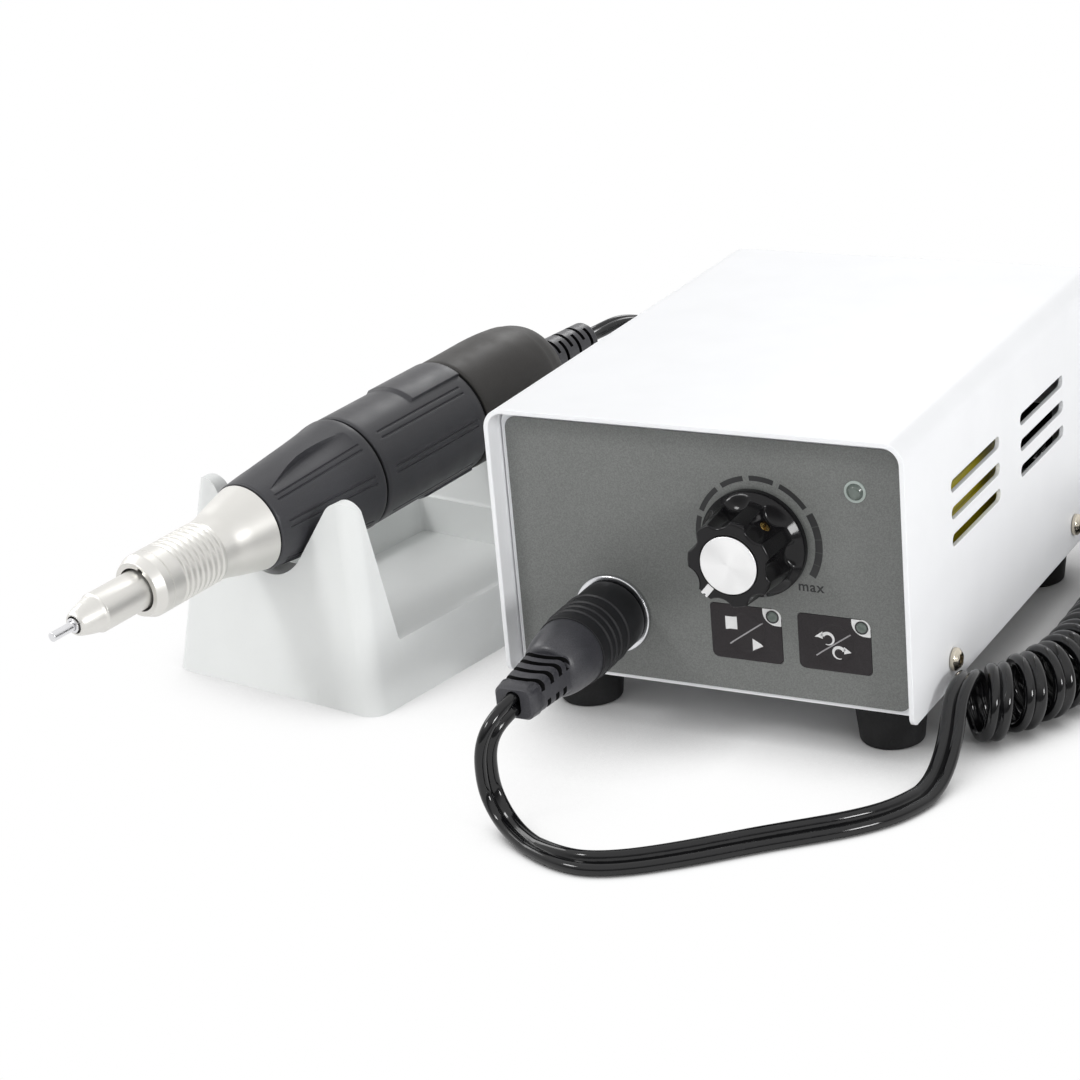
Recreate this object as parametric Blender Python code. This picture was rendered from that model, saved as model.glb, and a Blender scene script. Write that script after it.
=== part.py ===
"""Dental laboratory micromotor: control unit, handpiece on its notched stand, and curly twin cord.

Lengths are in metres and +Z is up. The control unit is drawn from the lower left corner of its front,
with X to the right along the front and Y towards the back. The stand and the handpiece have frames of
their own, and one root empty brings everything over the origin, at the middle of its footprint.
"""

import math

import bmesh
import bpy
import numpy as np
from mathutils import Matrix, Vector

# Clearances and mesh fineness
FIT = 0.0003
OVERRUN = 0.002
SIDES_LARGE = 28
SIDES_MEDIUM = 20
SIDES_SMALL = 12
ARC_STEPS = 4
SHARP_ANGLE = math.radians(32)
SRGB_KNEE, SRGB_SLOPE, SRGB_SHIFT, SRGB_POWER = 0.04045, 12.92, 0.055, 2.4

# Control unit: sheet metal cover and tray
UNIT_WIDTH = 0.105
UNIT_DEPTH = 0.1388
UNIT_HEIGHT = 0.0677
SHEET = 0.0012
COVER_BEND = 0.0051
COVER_CORNER = 0.0025
PANEL_SETBACK = 0.0053
FLANGE_HEIGHT = 0.014
FLANGE_END_MARGIN = 0.011

# Vents of the cover, two groups of slots in each side
VENT_ROWS = 3
VENT_HEIGHT = 0.003
VENT_PITCH = 0.0066
VENT_TOP_DROP = 0.020
VENT_FRONT_SETBACK = 0.028
VENT_FRONT_LENGTH = 0.0326
VENT_REAR_SETBACK = 0.0754
VENT_REAR_LENGTH = 0.0321

# Cover screws
SCREW_SHANK_RADIUS = 0.00135
SCREW_SHANK_LENGTH = 0.006
SCREW_HEAD_RADIUS = 0.0028
SCREW_HEAD_HEIGHT = 0.0019
SCREW_RECESS_WIDTH = 0.0007
SCREW_RECESS_SPAN = 0.0026
SCREW_RECESS_DEPTH = 0.001
SCREW_FRONT_SETBACK = 0.0254
SCREW_REAR_INSET = 0.0245
SCREW_RISE = 0.0064

# Feet
FOOT_HEIGHT = 0.0123
FOOT_TOP_RADIUS = 0.0089
FOOT_SOLE_RADIUS = 0.0076
FOOT_EDGE = 0.0008
FOOT_STEM_RADIUS = 0.002
FOOT_BARB_RADIUS = 0.0028
FOOT_BARB_LENGTH = 0.0014
FOOT_SIDE_INSET = 0.0129
FOOT_END_INSET = 0.0184

# Front label, measured from the cover's lower edge
LABEL_THICKNESS = 0.0004
LABEL_SIDE_MARGIN = 0.0027
LABEL_BOTTOM_MARGIN = 0.0011
LABEL_TOP_MARGIN = 0.0035
LABEL_CORNER = 0.003

# Keys, their lamps and the board behind them
KEY_WIDTH = 0.16952 * UNIT_WIDTH
KEY_HEIGHT = 0.0136
KEY_CORNER = 0.0015
KEY_PROUD = 0.0002
KEY_LIP = 0.001
KEY_LIP_THICKNESS = 0.0008
KEY_STEM_RADIUS = 0.002
KEY_TRAVEL = 0.0004
KEY_ROW_HEIGHT = 0.0159
START_KEY_X = 0.5938 * UNIT_WIDTH
DIRECTION_KEY_X = 0.80333 * UNIT_WIDTH
LAMP_RADIUS = 0.0011
LAMP_SIDE = 0.38764 * KEY_WIDTH
LAMP_RISE = 0.0051
LAMP_PROUD = 0.0004
KEY_BOARD_SETBACK = 0.0067
KEY_BOARD_THICKNESS = 0.0016
KEY_BOARD_MARGIN = 0.0004
KEY_BOSS_RADIUS = 0.0016

# Power lamp
POWER_LAMP_X = 0.86762 * UNIT_WIDTH
POWER_LAMP_HEIGHT = 0.0537
POWER_LAMP_RADIUS = 0.002
POWER_LAMP_FLANGE = 0.0006
POWER_LAMP_DEPTH = 0.004
POWER_LAMP_DOME = 0.001

# Speed knob
KNOB_X = 0.63143 * UNIT_WIDTH
KNOB_HEIGHT = 0.0393
KNOB_LIFT = 0.0004
KNOB_LENGTH = 0.0151
KNOB_SKIRT_RADIUS = 0.0129
KNOB_SKIRT_LENGTH = 0.0022
KNOB_SHOULDER_RADIUS = 0.0112
KNOB_SHOULDER_LENGTH = 0.0018
KNOB_CROWN_RADIUS = 0.0103
KNOB_EDGE = 0.0007
KNOB_FLUTES = 7
KNOB_FLUTE_DEPTH = 0.0015
KNOB_HOLLOW_DEPTH = 0.0030
KNOB_CAP_RADIUS = 0.00707
KNOB_CAP_THICKNESS = 0.0010
KNOB_CAP_PROUD = 0.0003
KNOB_BORE_LAND = 0.0015
SET_SCREW_RADIUS = 0.0013
SET_SCREW_SETBACK = 0.0062
SET_SCREW_SLOT = 0.0005
SET_SCREW_SLOT_DEPTH = 0.0006
SET_SCREW_HEAD_DROP = 0.0004
SET_SCREW_ANGLE = math.radians(50)
KNOB_FLUTE_PHASE = SET_SCREW_ANGLE

# Potentiometer
POT_BODY_RADIUS = 0.0082
POT_BODY_DEPTH = 0.0095
POT_BUSH_RADIUS = 0.0046
POT_BUSH_PROUD = 0.0027
POT_SHAFT_RADIUS = 0.003
POT_SHAFT_SEAT = 0.007
POT_NUT_HALF_FLATS = 0.0060
POT_NUT_THICKNESS = 0.0022

# Handpiece socket and plug
SOCKET_X = 0.26476 * UNIT_WIDTH
SOCKET_HEIGHT = 0.0168
SOCKET_RING_RADIUS = 0.0098
SOCKET_RING_THICKNESS = 0.0008
SOCKET_BARREL_RADIUS = 0.0076
SOCKET_BARREL_DEPTH = 0.008
SOCKET_INSERT_RADIUS = 0.0066
SOCKET_INSERT_WALL = 0.0009
SOCKET_WELL_DEPTH = 0.007
SOCKET_INSERT_BACK = 0.0035
PLUG_RADIUS = 0.0092
PLUG_DROOP = math.radians(1.8)
PLUG_STAND_OFF = 0.0018
PLUG_BARREL_LENGTH = 0.0195
PLUG_DOME_LENGTH = 0.014
PLUG_END_RADIUS = 0.0056
PLUG_PIN_RADIUS = 0.0050
PLUG_PIN_LENGTH = 0.0078
PLUG_TRAVEL = 0.012
PLUG_RELIEF_LENGTH = 0.0145
PLUG_RELIEF_WIDTH = 0.0112
PLUG_RELIEF_HEIGHT = 0.0092
PLUG_RELIEF_CORNER = 0.0024
PLUG_RELIEF_TAPER_SHARE = 0.86
PLUG_RELIEF_BLOCK = 0.0042
PLUG_RELIEF_SLOTS = 4
PLUG_RELIEF_SLOT = 0.0008
PLUG_RELIEF_SLOT_DEPTH = 0.0013
PLUG_NECK_RADIUS = 0.0035
PLUG_NECK_LENGTH = 0.006

# Transformer: laminated core standing on the tray, winding round its middle leg
CORE_STACK = 0.24762 * UNIT_WIDTH
CORE_LENGTH = 0.066
CORE_HEIGHT = 0.055
CORE_WINDOW_WIDTH = 0.011
CORE_WINDOW_HEIGHT = 0.033
CORE_X = 0.72857 * UNIT_WIDTH
CORE_SETBACK = 0.022
WINDING_SIDE = 0.09524 * UNIT_WIDTH

# Circuit board with heat sink and capacitor
BOARD_X = 0.07619 * UNIT_WIDTH
BOARD_SETBACK = 0.060
BOARD_WIDTH = 0.4 * UNIT_WIDTH
BOARD_LENGTH = 0.056
BOARD_THICKNESS = 0.0016
BOARD_RISE = 0.0069
BOARD_BOSS_RADIUS = 0.0025
BOARD_BOSS_INSET = 0.004
SINK_WIDTH = 0.28571 * UNIT_WIDTH
SINK_HEIGHT = 0.024
SINK_BASE = 0.003
SINK_FIN = 0.0016
SINK_FINS = 6
SINK_FIN_LENGTH = 0.009
SINK_MARGIN = 0.005
CAPACITOR_RADIUS = 0.0065
CAPACITOR_HEIGHT = 0.022
CAPACITOR_GROOVE = 0.0005
CAPACITOR_MARGIN = 0.012

# Rear plate fittings, measured from the cover's lower edge
REAR_FLANGE = 0.0018
INLET_X = 0.7619 * UNIT_WIDTH
INLET_RISE = 0.0227
INLET_WIDTH = 0.0264
INLET_HEIGHT = 0.0184
INLET_FLANGE_MARGIN = 0.0025
INLET_DEPTH = 0.015
INLET_WALL = 0.0022
INLET_WELL_DEPTH = 0.0125
INLET_PIN_WIDTH = 0.002
INLET_PIN_HEIGHT = 0.004
INLET_PIN_LENGTH = 0.009
INLET_PIN_SPREAD = 0.007
INLET_PIN_OFFSET = 0.003
ROCKER_X = INLET_X
ROCKER_RISE = 0.0487
ROCKER_WIDTH = 0.0094
ROCKER_HALF_LENGTH = 0.0068
ROCKER_DEPTH = 0.0048
ROCKER_TILT = math.radians(12)
ROCKER_CLEARANCE = 0.0004
ROCKER_PIVOT_DROP = 0.0006
SWITCH_WALL = 0.0013
SWITCH_FLANGE_MARGIN = 0.0014
SWITCH_DEPTH = 0.014
SWITCH_FLOOR = 0.003
FUSE_X = 0.4381 * UNIT_WIDTH
FUSE_RISE = 0.0457
FUSE_FLANGE_RADIUS = 0.0075
FUSE_BARREL_RADIUS = 0.006
FUSE_BARREL_DEPTH = 0.024
FUSE_BORE = 0.0045
FUSE_CAP_RADIUS = 0.0062
FUSE_CAP_LENGTH = 0.004
FUSE_CARRIER_LENGTH = 0.018
PEDAL_X = 0.22857 * UNIT_WIDTH
PEDAL_RISE = 0.0277
PEDAL_FLANGE_RADIUS = 0.009
PEDAL_BARREL_RADIUS = 0.0072
PEDAL_BARREL_DEPTH = 0.010
PEDAL_WELL_RADIUS = 0.0058
PEDAL_WELL_DEPTH = 0.006

# Stand, in its own frame: X across and Y along, with its foot a little in front of the origin
STAND_X = -0.0662
STAND_Y = -0.0050
STAND_LEAD = 0.0006
STAND_TURN = math.radians(9.7)
STAND_HALF_WIDTH = 0.0352
STAND_LENGTH = 0.1115
STAND_CORNER = 0.005
STAND_SIDE_LEAN = math.radians(9.3)
STAND_END_LEAN = math.radians(8.4)
STAND_RAIL_HEIGHT = 0.0157
STAND_DECK = 0.005
STAND_RAIL_INNER = 0.0305
STAND_WALL_FOOT = 0.0139
STAND_WALL_BACK_LEAN = math.radians(3.9)
STAND_WELL_MARGIN = 0.001
STAND_PEAK_RADIUS = 0.005
NOTCH_APEX_HEIGHT = 0.0208
NOTCH_HALF_ANGLE = math.radians(32.2)
NOTCH_ROUND = 0.0118
SEAT_ROUNDS = 6

# Handpiece: stations run along its axis from over the stand's front edge to the rear
GRIP_FRONT = -0.00175
GRIP_LENGTH = 0.03585
GRIP_FRONT_RADIUS = 0.0117
GRIP_REAR_RADIUS = 0.01535
GRIP_PROFILE_SHARES = ((0, 0), (0.19, 0.22), (0.39, 0.44), (0.56, 0.60), (0.73, 0.75), (0.9, 0.96), (1, 1))
GRIP_SCOOP_DEPTH = 0.0009
GRIP_SCOOP_ANGLES = (math.radians(33), math.radians(147), math.radians(213), math.radians(327))
GRIP_SCOOP_SPREAD = math.radians(24)
GRIP_TURN = math.radians(60)
CASE_LENGTH = 0.041
CASE_RADIUS = 0.01525
CASE_END_WALL = 0.0025
PAD_RADIUS = 0.01585
PAD_LENGTH = 0.0202
PAD_HALF_ANGLE = math.radians(30)
PAD_ROOT = 0.001
SLEEVE_RADIUS = 0.0102
SLEEVE_BORE = 0.0090
SPIGOT_RADIUS = 0.0086
SPIGOT_LENGTH = 0.006
CAP_LENGTH = 0.0384
CAP_RADIUS = 0.0158
CAP_END_WALL = 0.0043
CAP_BORE = 0.012
CAP_PROFILE_SHARES = (
    (0, 0.987), (0.27, 0.984), (0.42, 0.996), (0.57, 1.0), (0.67, 0.983), (0.77, 0.958), (0.87, 0.90),
    (0.925, 0.85), (0.975, 0.75), (1, 0.66),
)
RELIEF_LENGTH = 0.0238
RELIEF_ROOT_RADIUS = 0.0058
RELIEF_TIP_RADIUS = 0.0049
RELIEF_NECK_RADIUS = 0.0046
RELIEF_FLANGE_RADIUS = 0.0062
RELIEF_FLANGE = 0.0016
RELIEF_SLOTS = 5
RELIEF_SLOT = 0.0011
RELIEF_SLOT_DEPTH = 0.0022

# Nose of the handpiece
CONE_LENGTH = 0.0387
CONE_FACE_RADIUS = 0.0069
CONE_BAND_RADIUS = 0.0081
CONE_BEVEL_LENGTH = 0.0025
CONE_BAND_LENGTH = 0.0059
CONE_RIDGES = 8
CONE_RIDGE_PITCH = 0.0018
CONE_RIDGE_DEPTH = 0.0004
CONE_NECK_RADIUS = 0.00785
CONE_REAR_RADIUS = 0.0114
CONE_FLARE_SHARES = ((0, 0), (0.21, 0.14), (0.47, 0.49), (0.74, 0.75), (1, 1))
TIP_REACH = 0.02055
TIP_FACE_RADIUS = 0.0027
TIP_SHOULDER_RADIUS = 0.0046
TIP_OGIVE_LENGTH = 0.0065
TIP_ROOT_RADIUS = 0.005
TIP_SHANK_LENGTH = 0.0105
TIP_PROFILE_SHARES = ((0, 0), (0.1, 0.2), (0.35, 0.5), (0.65, 0.8), (1, 1))

# Spindle, collet and mandrel
MANDREL_RADIUS = 0.001175
MANDREL_REACH = 0.0071
MANDREL_LENGTH = 0.042
MANDREL_TRAVEL = 0.03
COLLET_RADIUS = 0.0024
COLLET_NOSE_RADIUS = 0.0019
COLLET_NOSE_LENGTH = 0.003
COLLET_LENGTH = 0.037
COLLET_PROUD = 0.0006
SPINDLE_RADIUS = 0.0035
SPINDLE_SETBACK = 0.0068
BEARING_RADIUS = 0.0065
BEARING_WIDTH = 0.004

# Motor
MAGNET_RADIUS = 0.0129
MAGNET_BORE = 0.0102
MAGNET_LENGTH = 0.68293 * CASE_LENGTH
MAGNET_SETBACK = 0.002
ROTOR_RADIUS = 0.0097
ROTOR_LENGTH = 0.58537 * CASE_LENGTH
ROTOR_SLOTS = 8
ROTOR_SLOT_DEPTH = 0.002
COMMUTATOR_RADIUS = 0.0045
COMMUTATOR_LENGTH = 0.0085
COMMUTATOR_GAP = 0.002
HOLDER_LENGTH = 0.0135
HOLDER_BORE = 0.0056
HOLDER_GAP = 0.0015
HOLDER_CHAMBER = 0.008
BRUSH_WIDTH = 0.0032
BRUSH_LENGTH = 0.0044
BRUSH_HEIGHT = 0.0072

# Twin cord: one round tube as wide as the mean of its width and thickness
CORD_WIDTH = 0.0058
CORD_THICKNESS = 0.0029
CURL_DIAMETER = 0.0176
CURLS = 27
CURL_POINTS = 8
CURL_QUARTER_SHARE = 0.25
CORD_STEP_SHARE = 2.0
ROUTE_FINENESS = 24

# Places that the middle of the curly cord passes, read off the photograph and on behind the unit
CURL_AXIS = (
    (0.1160, 0.0219), (0.1190, 0.0262), (0.1216, 0.0320), (0.1234, 0.0395), (0.1243, 0.0480),
    (0.1247, 0.0650), (0.1243, 0.0900), (0.1230, 0.1150), (0.1190, 0.1380), (0.1105, 0.1575),
    (0.0975, 0.1705), (0.0810, 0.1755), (0.0640, 0.1765),
)
# Route of the cord from the plug down to the floor, along it and up to the first curl
FRONT_ROUTE = (
    (0.0258, -0.0516, 0.0245), (0.0243, -0.0532, 0.0190), (0.0240, -0.0528, 0.0149),
    (0.0239, -0.0524, 0.0101), (0.0258, -0.0532, 0.0062), (0.0297, -0.0551, 0.0036),
    (0.0358, -0.0591, 0.0025), (0.0422, -0.0625, 0.0023), (0.0478, -0.0646, 0.0023),
    (0.0527, -0.0653, 0.0023), (0.0568, -0.0647, 0.0023), (0.0638, -0.0611, 0.0023),
    (0.0733, -0.0538, 0.0023), (0.0857, -0.0428, 0.0023), (0.0984, -0.0323, 0.0023),
    (0.1044, -0.0262, 0.0024), (0.1090, -0.0195, 0.0025), (0.1114, -0.0120, 0.0032),
    (0.1122, -0.0050, 0.0048), (0.1124, 0.0050, 0.0085), (0.1120, 0.0120, 0.0125),
    (0.1117, 0.0172, 0.0160), (0.1112, 0.0218, 0.0168),
)
# Route of the lead from the last curl to the strain relief of the handpiece
REAR_ROUTE = (
    (0.0640, 0.1860, 0.0023), (0.0560, 0.1900, 0.0023), (0.0440, 0.1895, 0.0023), (0.0290, 0.1860, 0.0040),
    (0.0140, 0.1815, 0.0110), (-0.0020, 0.1760, 0.0240), (-0.0160, 0.1680, 0.0390), (-0.0280, 0.1570, 0.0500),
    (-0.0365, 0.1460, 0.0545),
)

# Colours as sRGB shares, roughness and metallic value of each finish
FINISHES = {
    "white_paint": ((0.93, 0.93, 0.93), 0.38, 0.0),
    "grey_label": ((0.43, 0.45, 0.44), 0.55, 0.0),
    "key_film": ((0.16, 0.145, 0.145), 0.5, 0.0),
    "lens": ((0.46, 0.56, 0.50), 0.25, 0.0),
    "black_plastic": ((0.05, 0.05, 0.055), 0.35, 0.0),
    "soft_black": ((0.10, 0.10, 0.11), 0.6, 0.0),
    "rubber": ((0.06, 0.06, 0.06), 0.8, 0.0),
    "spun_aluminium": ((0.90, 0.90, 0.91), 0.28, 1.0),
    "satin_nickel": ((0.74, 0.73, 0.70), 0.35, 1.0),
    "steel": ((0.66, 0.66, 0.67), 0.3, 1.0),
    "brass": ((0.80, 0.62, 0.30), 0.3, 1.0),
    "stand_plastic": ((0.87, 0.88, 0.88), 0.6, 0.0),
    "board": ((0.10, 0.34, 0.18), 0.5, 0.0),
    "core_iron": ((0.28, 0.28, 0.29), 0.55, 1.0),
    "winding_tape": ((0.85, 0.72, 0.15), 0.5, 0.0),
    "copper": ((0.72, 0.42, 0.26), 0.35, 1.0),
    "carbon": ((0.12, 0.12, 0.12), 0.7, 0.0),
    "magnet": ((0.30, 0.30, 0.31), 0.5, 1.0),
    "cable": ((0.05, 0.05, 0.05), 0.3, 0.0),
}

# Values that follow from the sizes above
INNER_WIDTH = UNIT_WIDTH - 2 * (SHEET + FIT)
PANEL_BACK = -(LABEL_THICKNESS + FIT + SHEET)
GRIP_REAR = GRIP_FRONT + GRIP_LENGTH
CASE_FRONT = GRIP_REAR + FIT
CASE_REAR = CASE_FRONT + CASE_LENGTH
CAP_FRONT = CASE_REAR + FIT
CAP_REAR = CAP_FRONT + CAP_LENGTH
RELIEF_FRONT = CAP_REAR + FIT
RELIEF_REAR = RELIEF_FRONT + RELIEF_LENGTH
CONE_REAR = GRIP_FRONT - FIT
CONE_FRONT = CONE_REAR - CONE_LENGTH
TIP_FRONT = CONE_FRONT - TIP_REACH
MANDREL_FRONT = TIP_FRONT - MANDREL_REACH
SPIGOT_FRONT = GRIP_FRONT - SPIGOT_LENGTH
SPINDLE_FRONT = TIP_FRONT + SPINDLE_SETBACK
MAGNET_FRONT = CASE_FRONT + CASE_END_WALL + MAGNET_SETBACK
ROTOR_FRONT = MAGNET_FRONT + (MAGNET_LENGTH - ROTOR_LENGTH) / 2
COMMUTATOR_FRONT = ROTOR_FRONT + ROTOR_LENGTH + COMMUTATOR_GAP
HOLDER_FRONT = MAGNET_FRONT + MAGNET_LENGTH + HOLDER_GAP
HOLDER_RADIUS = MAGNET_RADIUS
CORD_DIAMETER = (CORD_WIDTH + CORD_THICKNESS) / 2
CURL_RADIUS = (CURL_DIAMETER - CORD_DIAMETER) / 2


# Solids


def loft(rings, closed=False):
    """Solid through rings of points; a ring of one point is a pole, and closed joins last to first."""
    solid = bmesh.new()
    loops = [[solid.verts.new(point) for point in ring] for ring in rings]
    pairs = list(zip(loops, loops[1:]))
    if closed:
        pairs.append((loops[-1], loops[0]))
    for lower, upper in pairs:
        count = max(len(lower), len(upper))
        for i in range(count):
            j = (i + 1) % count
            corners = [lower[i % len(lower)], lower[j % len(lower)], upper[j % len(upper)], upper[i % len(upper)]]
            face = list(dict.fromkeys(corners))
            solid.faces.new(face)
    if not closed:
        for loop in (loops[0], loops[-1]):
            if len(loop) > 1:
                solid.faces.new(loop)
    bmesh.ops.remove_doubles(solid, verts=solid.verts, dist=FIT * FIT)
    bmesh.ops.recalc_face_normals(solid, faces=solid.faces)
    return solid


def turned(profile, sides=SIDES_MEDIUM, radius_at=None, closed=False):
    """Solid turned about Z through (radius, height) points; radius_at may vary a radius with its angle."""
    rings = []
    for radius, height in profile:
        if radius == 0:
            rings.append([(0, 0, height)])
            continue
        ring = []
        for i in range(sides):
            angle = 2 * math.pi * i / sides
            reach = radius_at(angle, radius, height) if radius_at else radius
            ring.append((reach * math.cos(angle), reach * math.sin(angle), height))
        rings.append(ring)
    return loft(rings, closed)


def arc(centre, radius, start, end, steps=ARC_STEPS):
    """Points of an arc in a plane, both ends included; angles in radians."""
    angles = (start + (end - start) * i / steps for i in range(steps + 1))
    return [(centre[0] + radius * math.cos(a), centre[1] + radius * math.sin(a)) for a in angles]


def rounded(corners, steps=ARC_STEPS):
    """Closed outline through (x, y, radius) corners, each rounded by its own radius."""
    outline = []
    for i, (x, y, radius) in enumerate(corners):
        here = Vector((x, y))
        if radius == 0:
            outline.append((x, y))
            continue
        before = (Vector(corners[i - 1][:2]) - here).normalized()
        after = (Vector(corners[(i + 1) % len(corners)][:2]) - here).normalized()
        half = before.angle(after) / 2
        centre = here + (before + after).normalized() * (radius / math.sin(half))
        first = here + before * (radius / math.tan(half)) - centre
        last = here + after * (radius / math.tan(half)) - centre
        start = math.atan2(first.y, first.x)
        sweep = math.remainder(math.atan2(last.y, last.x) - start, 2 * math.pi)
        outline += arc(centre, radius, start, start + sweep, steps)
    return outline


def rectangle(width, height, radius=0.0, centre=(0, 0), steps=ARC_STEPS):
    """Rounded rectangle about its centre."""
    x, y = width / 2, height / 2
    corners = [(centre[0] + u * x, centre[1] + v * y, radius) for u, v in ((1, 1), (-1, 1), (-1, -1), (1, -1))]
    return rounded(corners, steps)


def circle(radius, centre=(0, 0), sides=SIDES_SMALL):
    """Round outline."""
    return arc(centre, radius, 0, 2 * math.pi, sides)[:-1]


AXES = {"X": lambda u, v, w: (w, u, v), "Y": lambda u, v, w: (u, w, v), "Z": lambda u, v, w: (u, v, w)}


def extruded(outline, start, end, axis="Z"):
    """Outline drawn in the plane across an axis and run along it from start to end."""
    return loft([[AXES[axis](u, v, w) for u, v in outline] for w in (start, end)])


def box(low, high):
    """Block between two corners."""
    return loft([[(low[0], low[1], z), (high[0], low[1], z), (high[0], high[1], z), (low[0], high[1], z)]
                 for z in (low[2], high[2])])


def stacked(sections, steps=ARC_STEPS):
    """Solid through (width, height, corner, z) rounded rectangles."""
    return loft([[(x, y, z) for x, y in rectangle(w, h, r, steps=steps)] for w, h, r, z in sections])


def gathered(*solids):
    """Several separate solids as one mesh, for a cutter or for pieces to be added."""
    whole = bmesh.new()
    for solid in solids:
        loose = bpy.data.meshes.new("loose")
        solid.to_mesh(loose)
        solid.free()
        whole.from_mesh(loose)
        bpy.data.meshes.remove(loose)
    return whole


def moved(solid, offset):
    """The solid shifted by an offset."""
    bmesh.ops.translate(solid, verts=solid.verts, vec=Vector(offset))
    return solid


def corner_waste(corner, inward, radius, start, end, axis):
    """What rounding a square corner by a radius takes away, as a cutter along an axis."""
    centre = (corner[0] + inward[0] * radius, corner[1] + inward[1] * radius)
    first = math.atan2(-inward[1], 0)
    last = math.atan2(0, -inward[0])
    sweep = math.remainder(last - first, 2 * math.pi)
    curve = arc(centre, radius, first, first + sweep)
    outer = (corner[0] - inward[0] * OVERRUN, corner[1] - inward[1] * OVERRUN)
    outline = curve + [(outer[0], centre[1]), outer, (centre[0], outer[1])]
    return extruded(outline, start, end, axis)


# Objects


def finish(name):
    """Material of a finish, made once."""
    material = bpy.data.materials.get(name)
    if material:
        return material
    colour, roughness, metallic = FINISHES[name]
    material = bpy.data.materials.new(name)
    material.use_nodes = True
    shader = material.node_tree.nodes["Principled BSDF"]
    linear = [c / SRGB_SLOPE if c <= SRGB_KNEE else ((c + SRGB_SHIFT) / (1 + SRGB_SHIFT)) ** SRGB_POWER
              for c in colour]
    shader.inputs["Base Color"].default_value = (*linear, 1)
    shader.inputs["Roughness"].default_value = roughness
    shader.inputs["Metallic"].default_value = metallic
    material.diffuse_color = (*linear, 1)
    return material


def add_frame(name, parent=None, location=(0, 0, 0), rotation=(0, 0, 0)):
    """Empty that carries pieces."""
    empty = bpy.data.objects.new(name, None)
    bpy.context.collection.objects.link(empty)
    empty.parent = parent
    empty.location = location
    empty.rotation_euler = rotation
    empty.empty_display_size = UNIT_WIDTH / 10
    return empty


def add_node(name, solid, look, parent, location=(0, 0, 0), rotation=(0, 0, 0)):
    """Named piece with its own mesh, finish and place under its parent."""
    mesh = bpy.data.meshes.new(name)
    solid.to_mesh(mesh)
    solid.free()
    mesh.materials.append(finish(look))
    mesh.shade_smooth()
    mesh.set_sharp_from_angle(angle=SHARP_ANGLE)
    node = bpy.data.objects.new(name, mesh)
    bpy.context.collection.objects.link(node)
    node.parent = parent
    node.location = location
    node.rotation_euler = rotation
    return node


def combine(node, solid, operation):
    """Boolean of a node with a hidden tool that stands in the node's own frame."""
    name = f"{node.name}_{operation.lower()}_{len(node.modifiers)}"
    tool = add_node(name, solid, "carbon", node)
    tool.hide_render = True
    tool.display_type = "WIRE"
    boolean = node.modifiers.new(name, "BOOLEAN")
    boolean.operation = operation
    boolean.object = tool
    boolean.solver = "EXACT"


def cut(node, *solids):
    """Takes solids away from a node."""
    combine(node, gathered(*solids), "DIFFERENCE")


def add(node, *solids):
    """Adds solids to a node."""
    combine(node, gathered(*solids), "UNION")


# Control unit


def key_places():
    """Middle of each key on the panel, by the name of the key."""
    return {"start_stop_key": (START_KEY_X, KEY_ROW_HEIGHT), "direction_key": (DIRECTION_KEY_X, KEY_ROW_HEIGHT)}


def foot_places():
    """Middle of each foot under the tray, by name."""
    sides = {"left": FOOT_SIDE_INSET, "right": UNIT_WIDTH - FOOT_SIDE_INSET}
    ends = {"front": FOOT_END_INSET, "rear": UNIT_DEPTH - FOOT_END_INSET}
    return {f"foot_{end}_{side}": (x, y) for end, y in ends.items() for side, x in sides.items()}


def screw_setbacks():
    """Distance of each pair of cover screws from the front, by name."""
    return {"front": SCREW_FRONT_SETBACK, "rear": UNIT_DEPTH - SCREW_REAR_INSET}


def rear_places():
    """Middle of each rear fitting as (x, height), by name."""
    return {
        "inlet": (INLET_X, INLET_RISE), "switch": (ROCKER_X, ROCKER_RISE),
        "fuse": (FUSE_X, FUSE_RISE), "pedal": (PEDAL_X, PEDAL_RISE),
    }


def rocker_edge():
    """Height of the rocker's ends over its pivot when it stands level."""
    return ROCKER_PIVOT_DROP + FIT + REAR_FLANGE + ROCKER_HALF_LENGTH * math.tan(ROCKER_TILT)


def switch_body():
    """Width and height of the switch housing where it passes the rear plate."""
    width = ROCKER_WIDTH + 2 * (ROCKER_CLEARANCE + SWITCH_WALL)
    swing = math.hypot(ROCKER_HALF_LENGTH, rocker_edge())
    return width, 2 * (swing + ROCKER_CLEARANCE + SWITCH_WALL)


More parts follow.
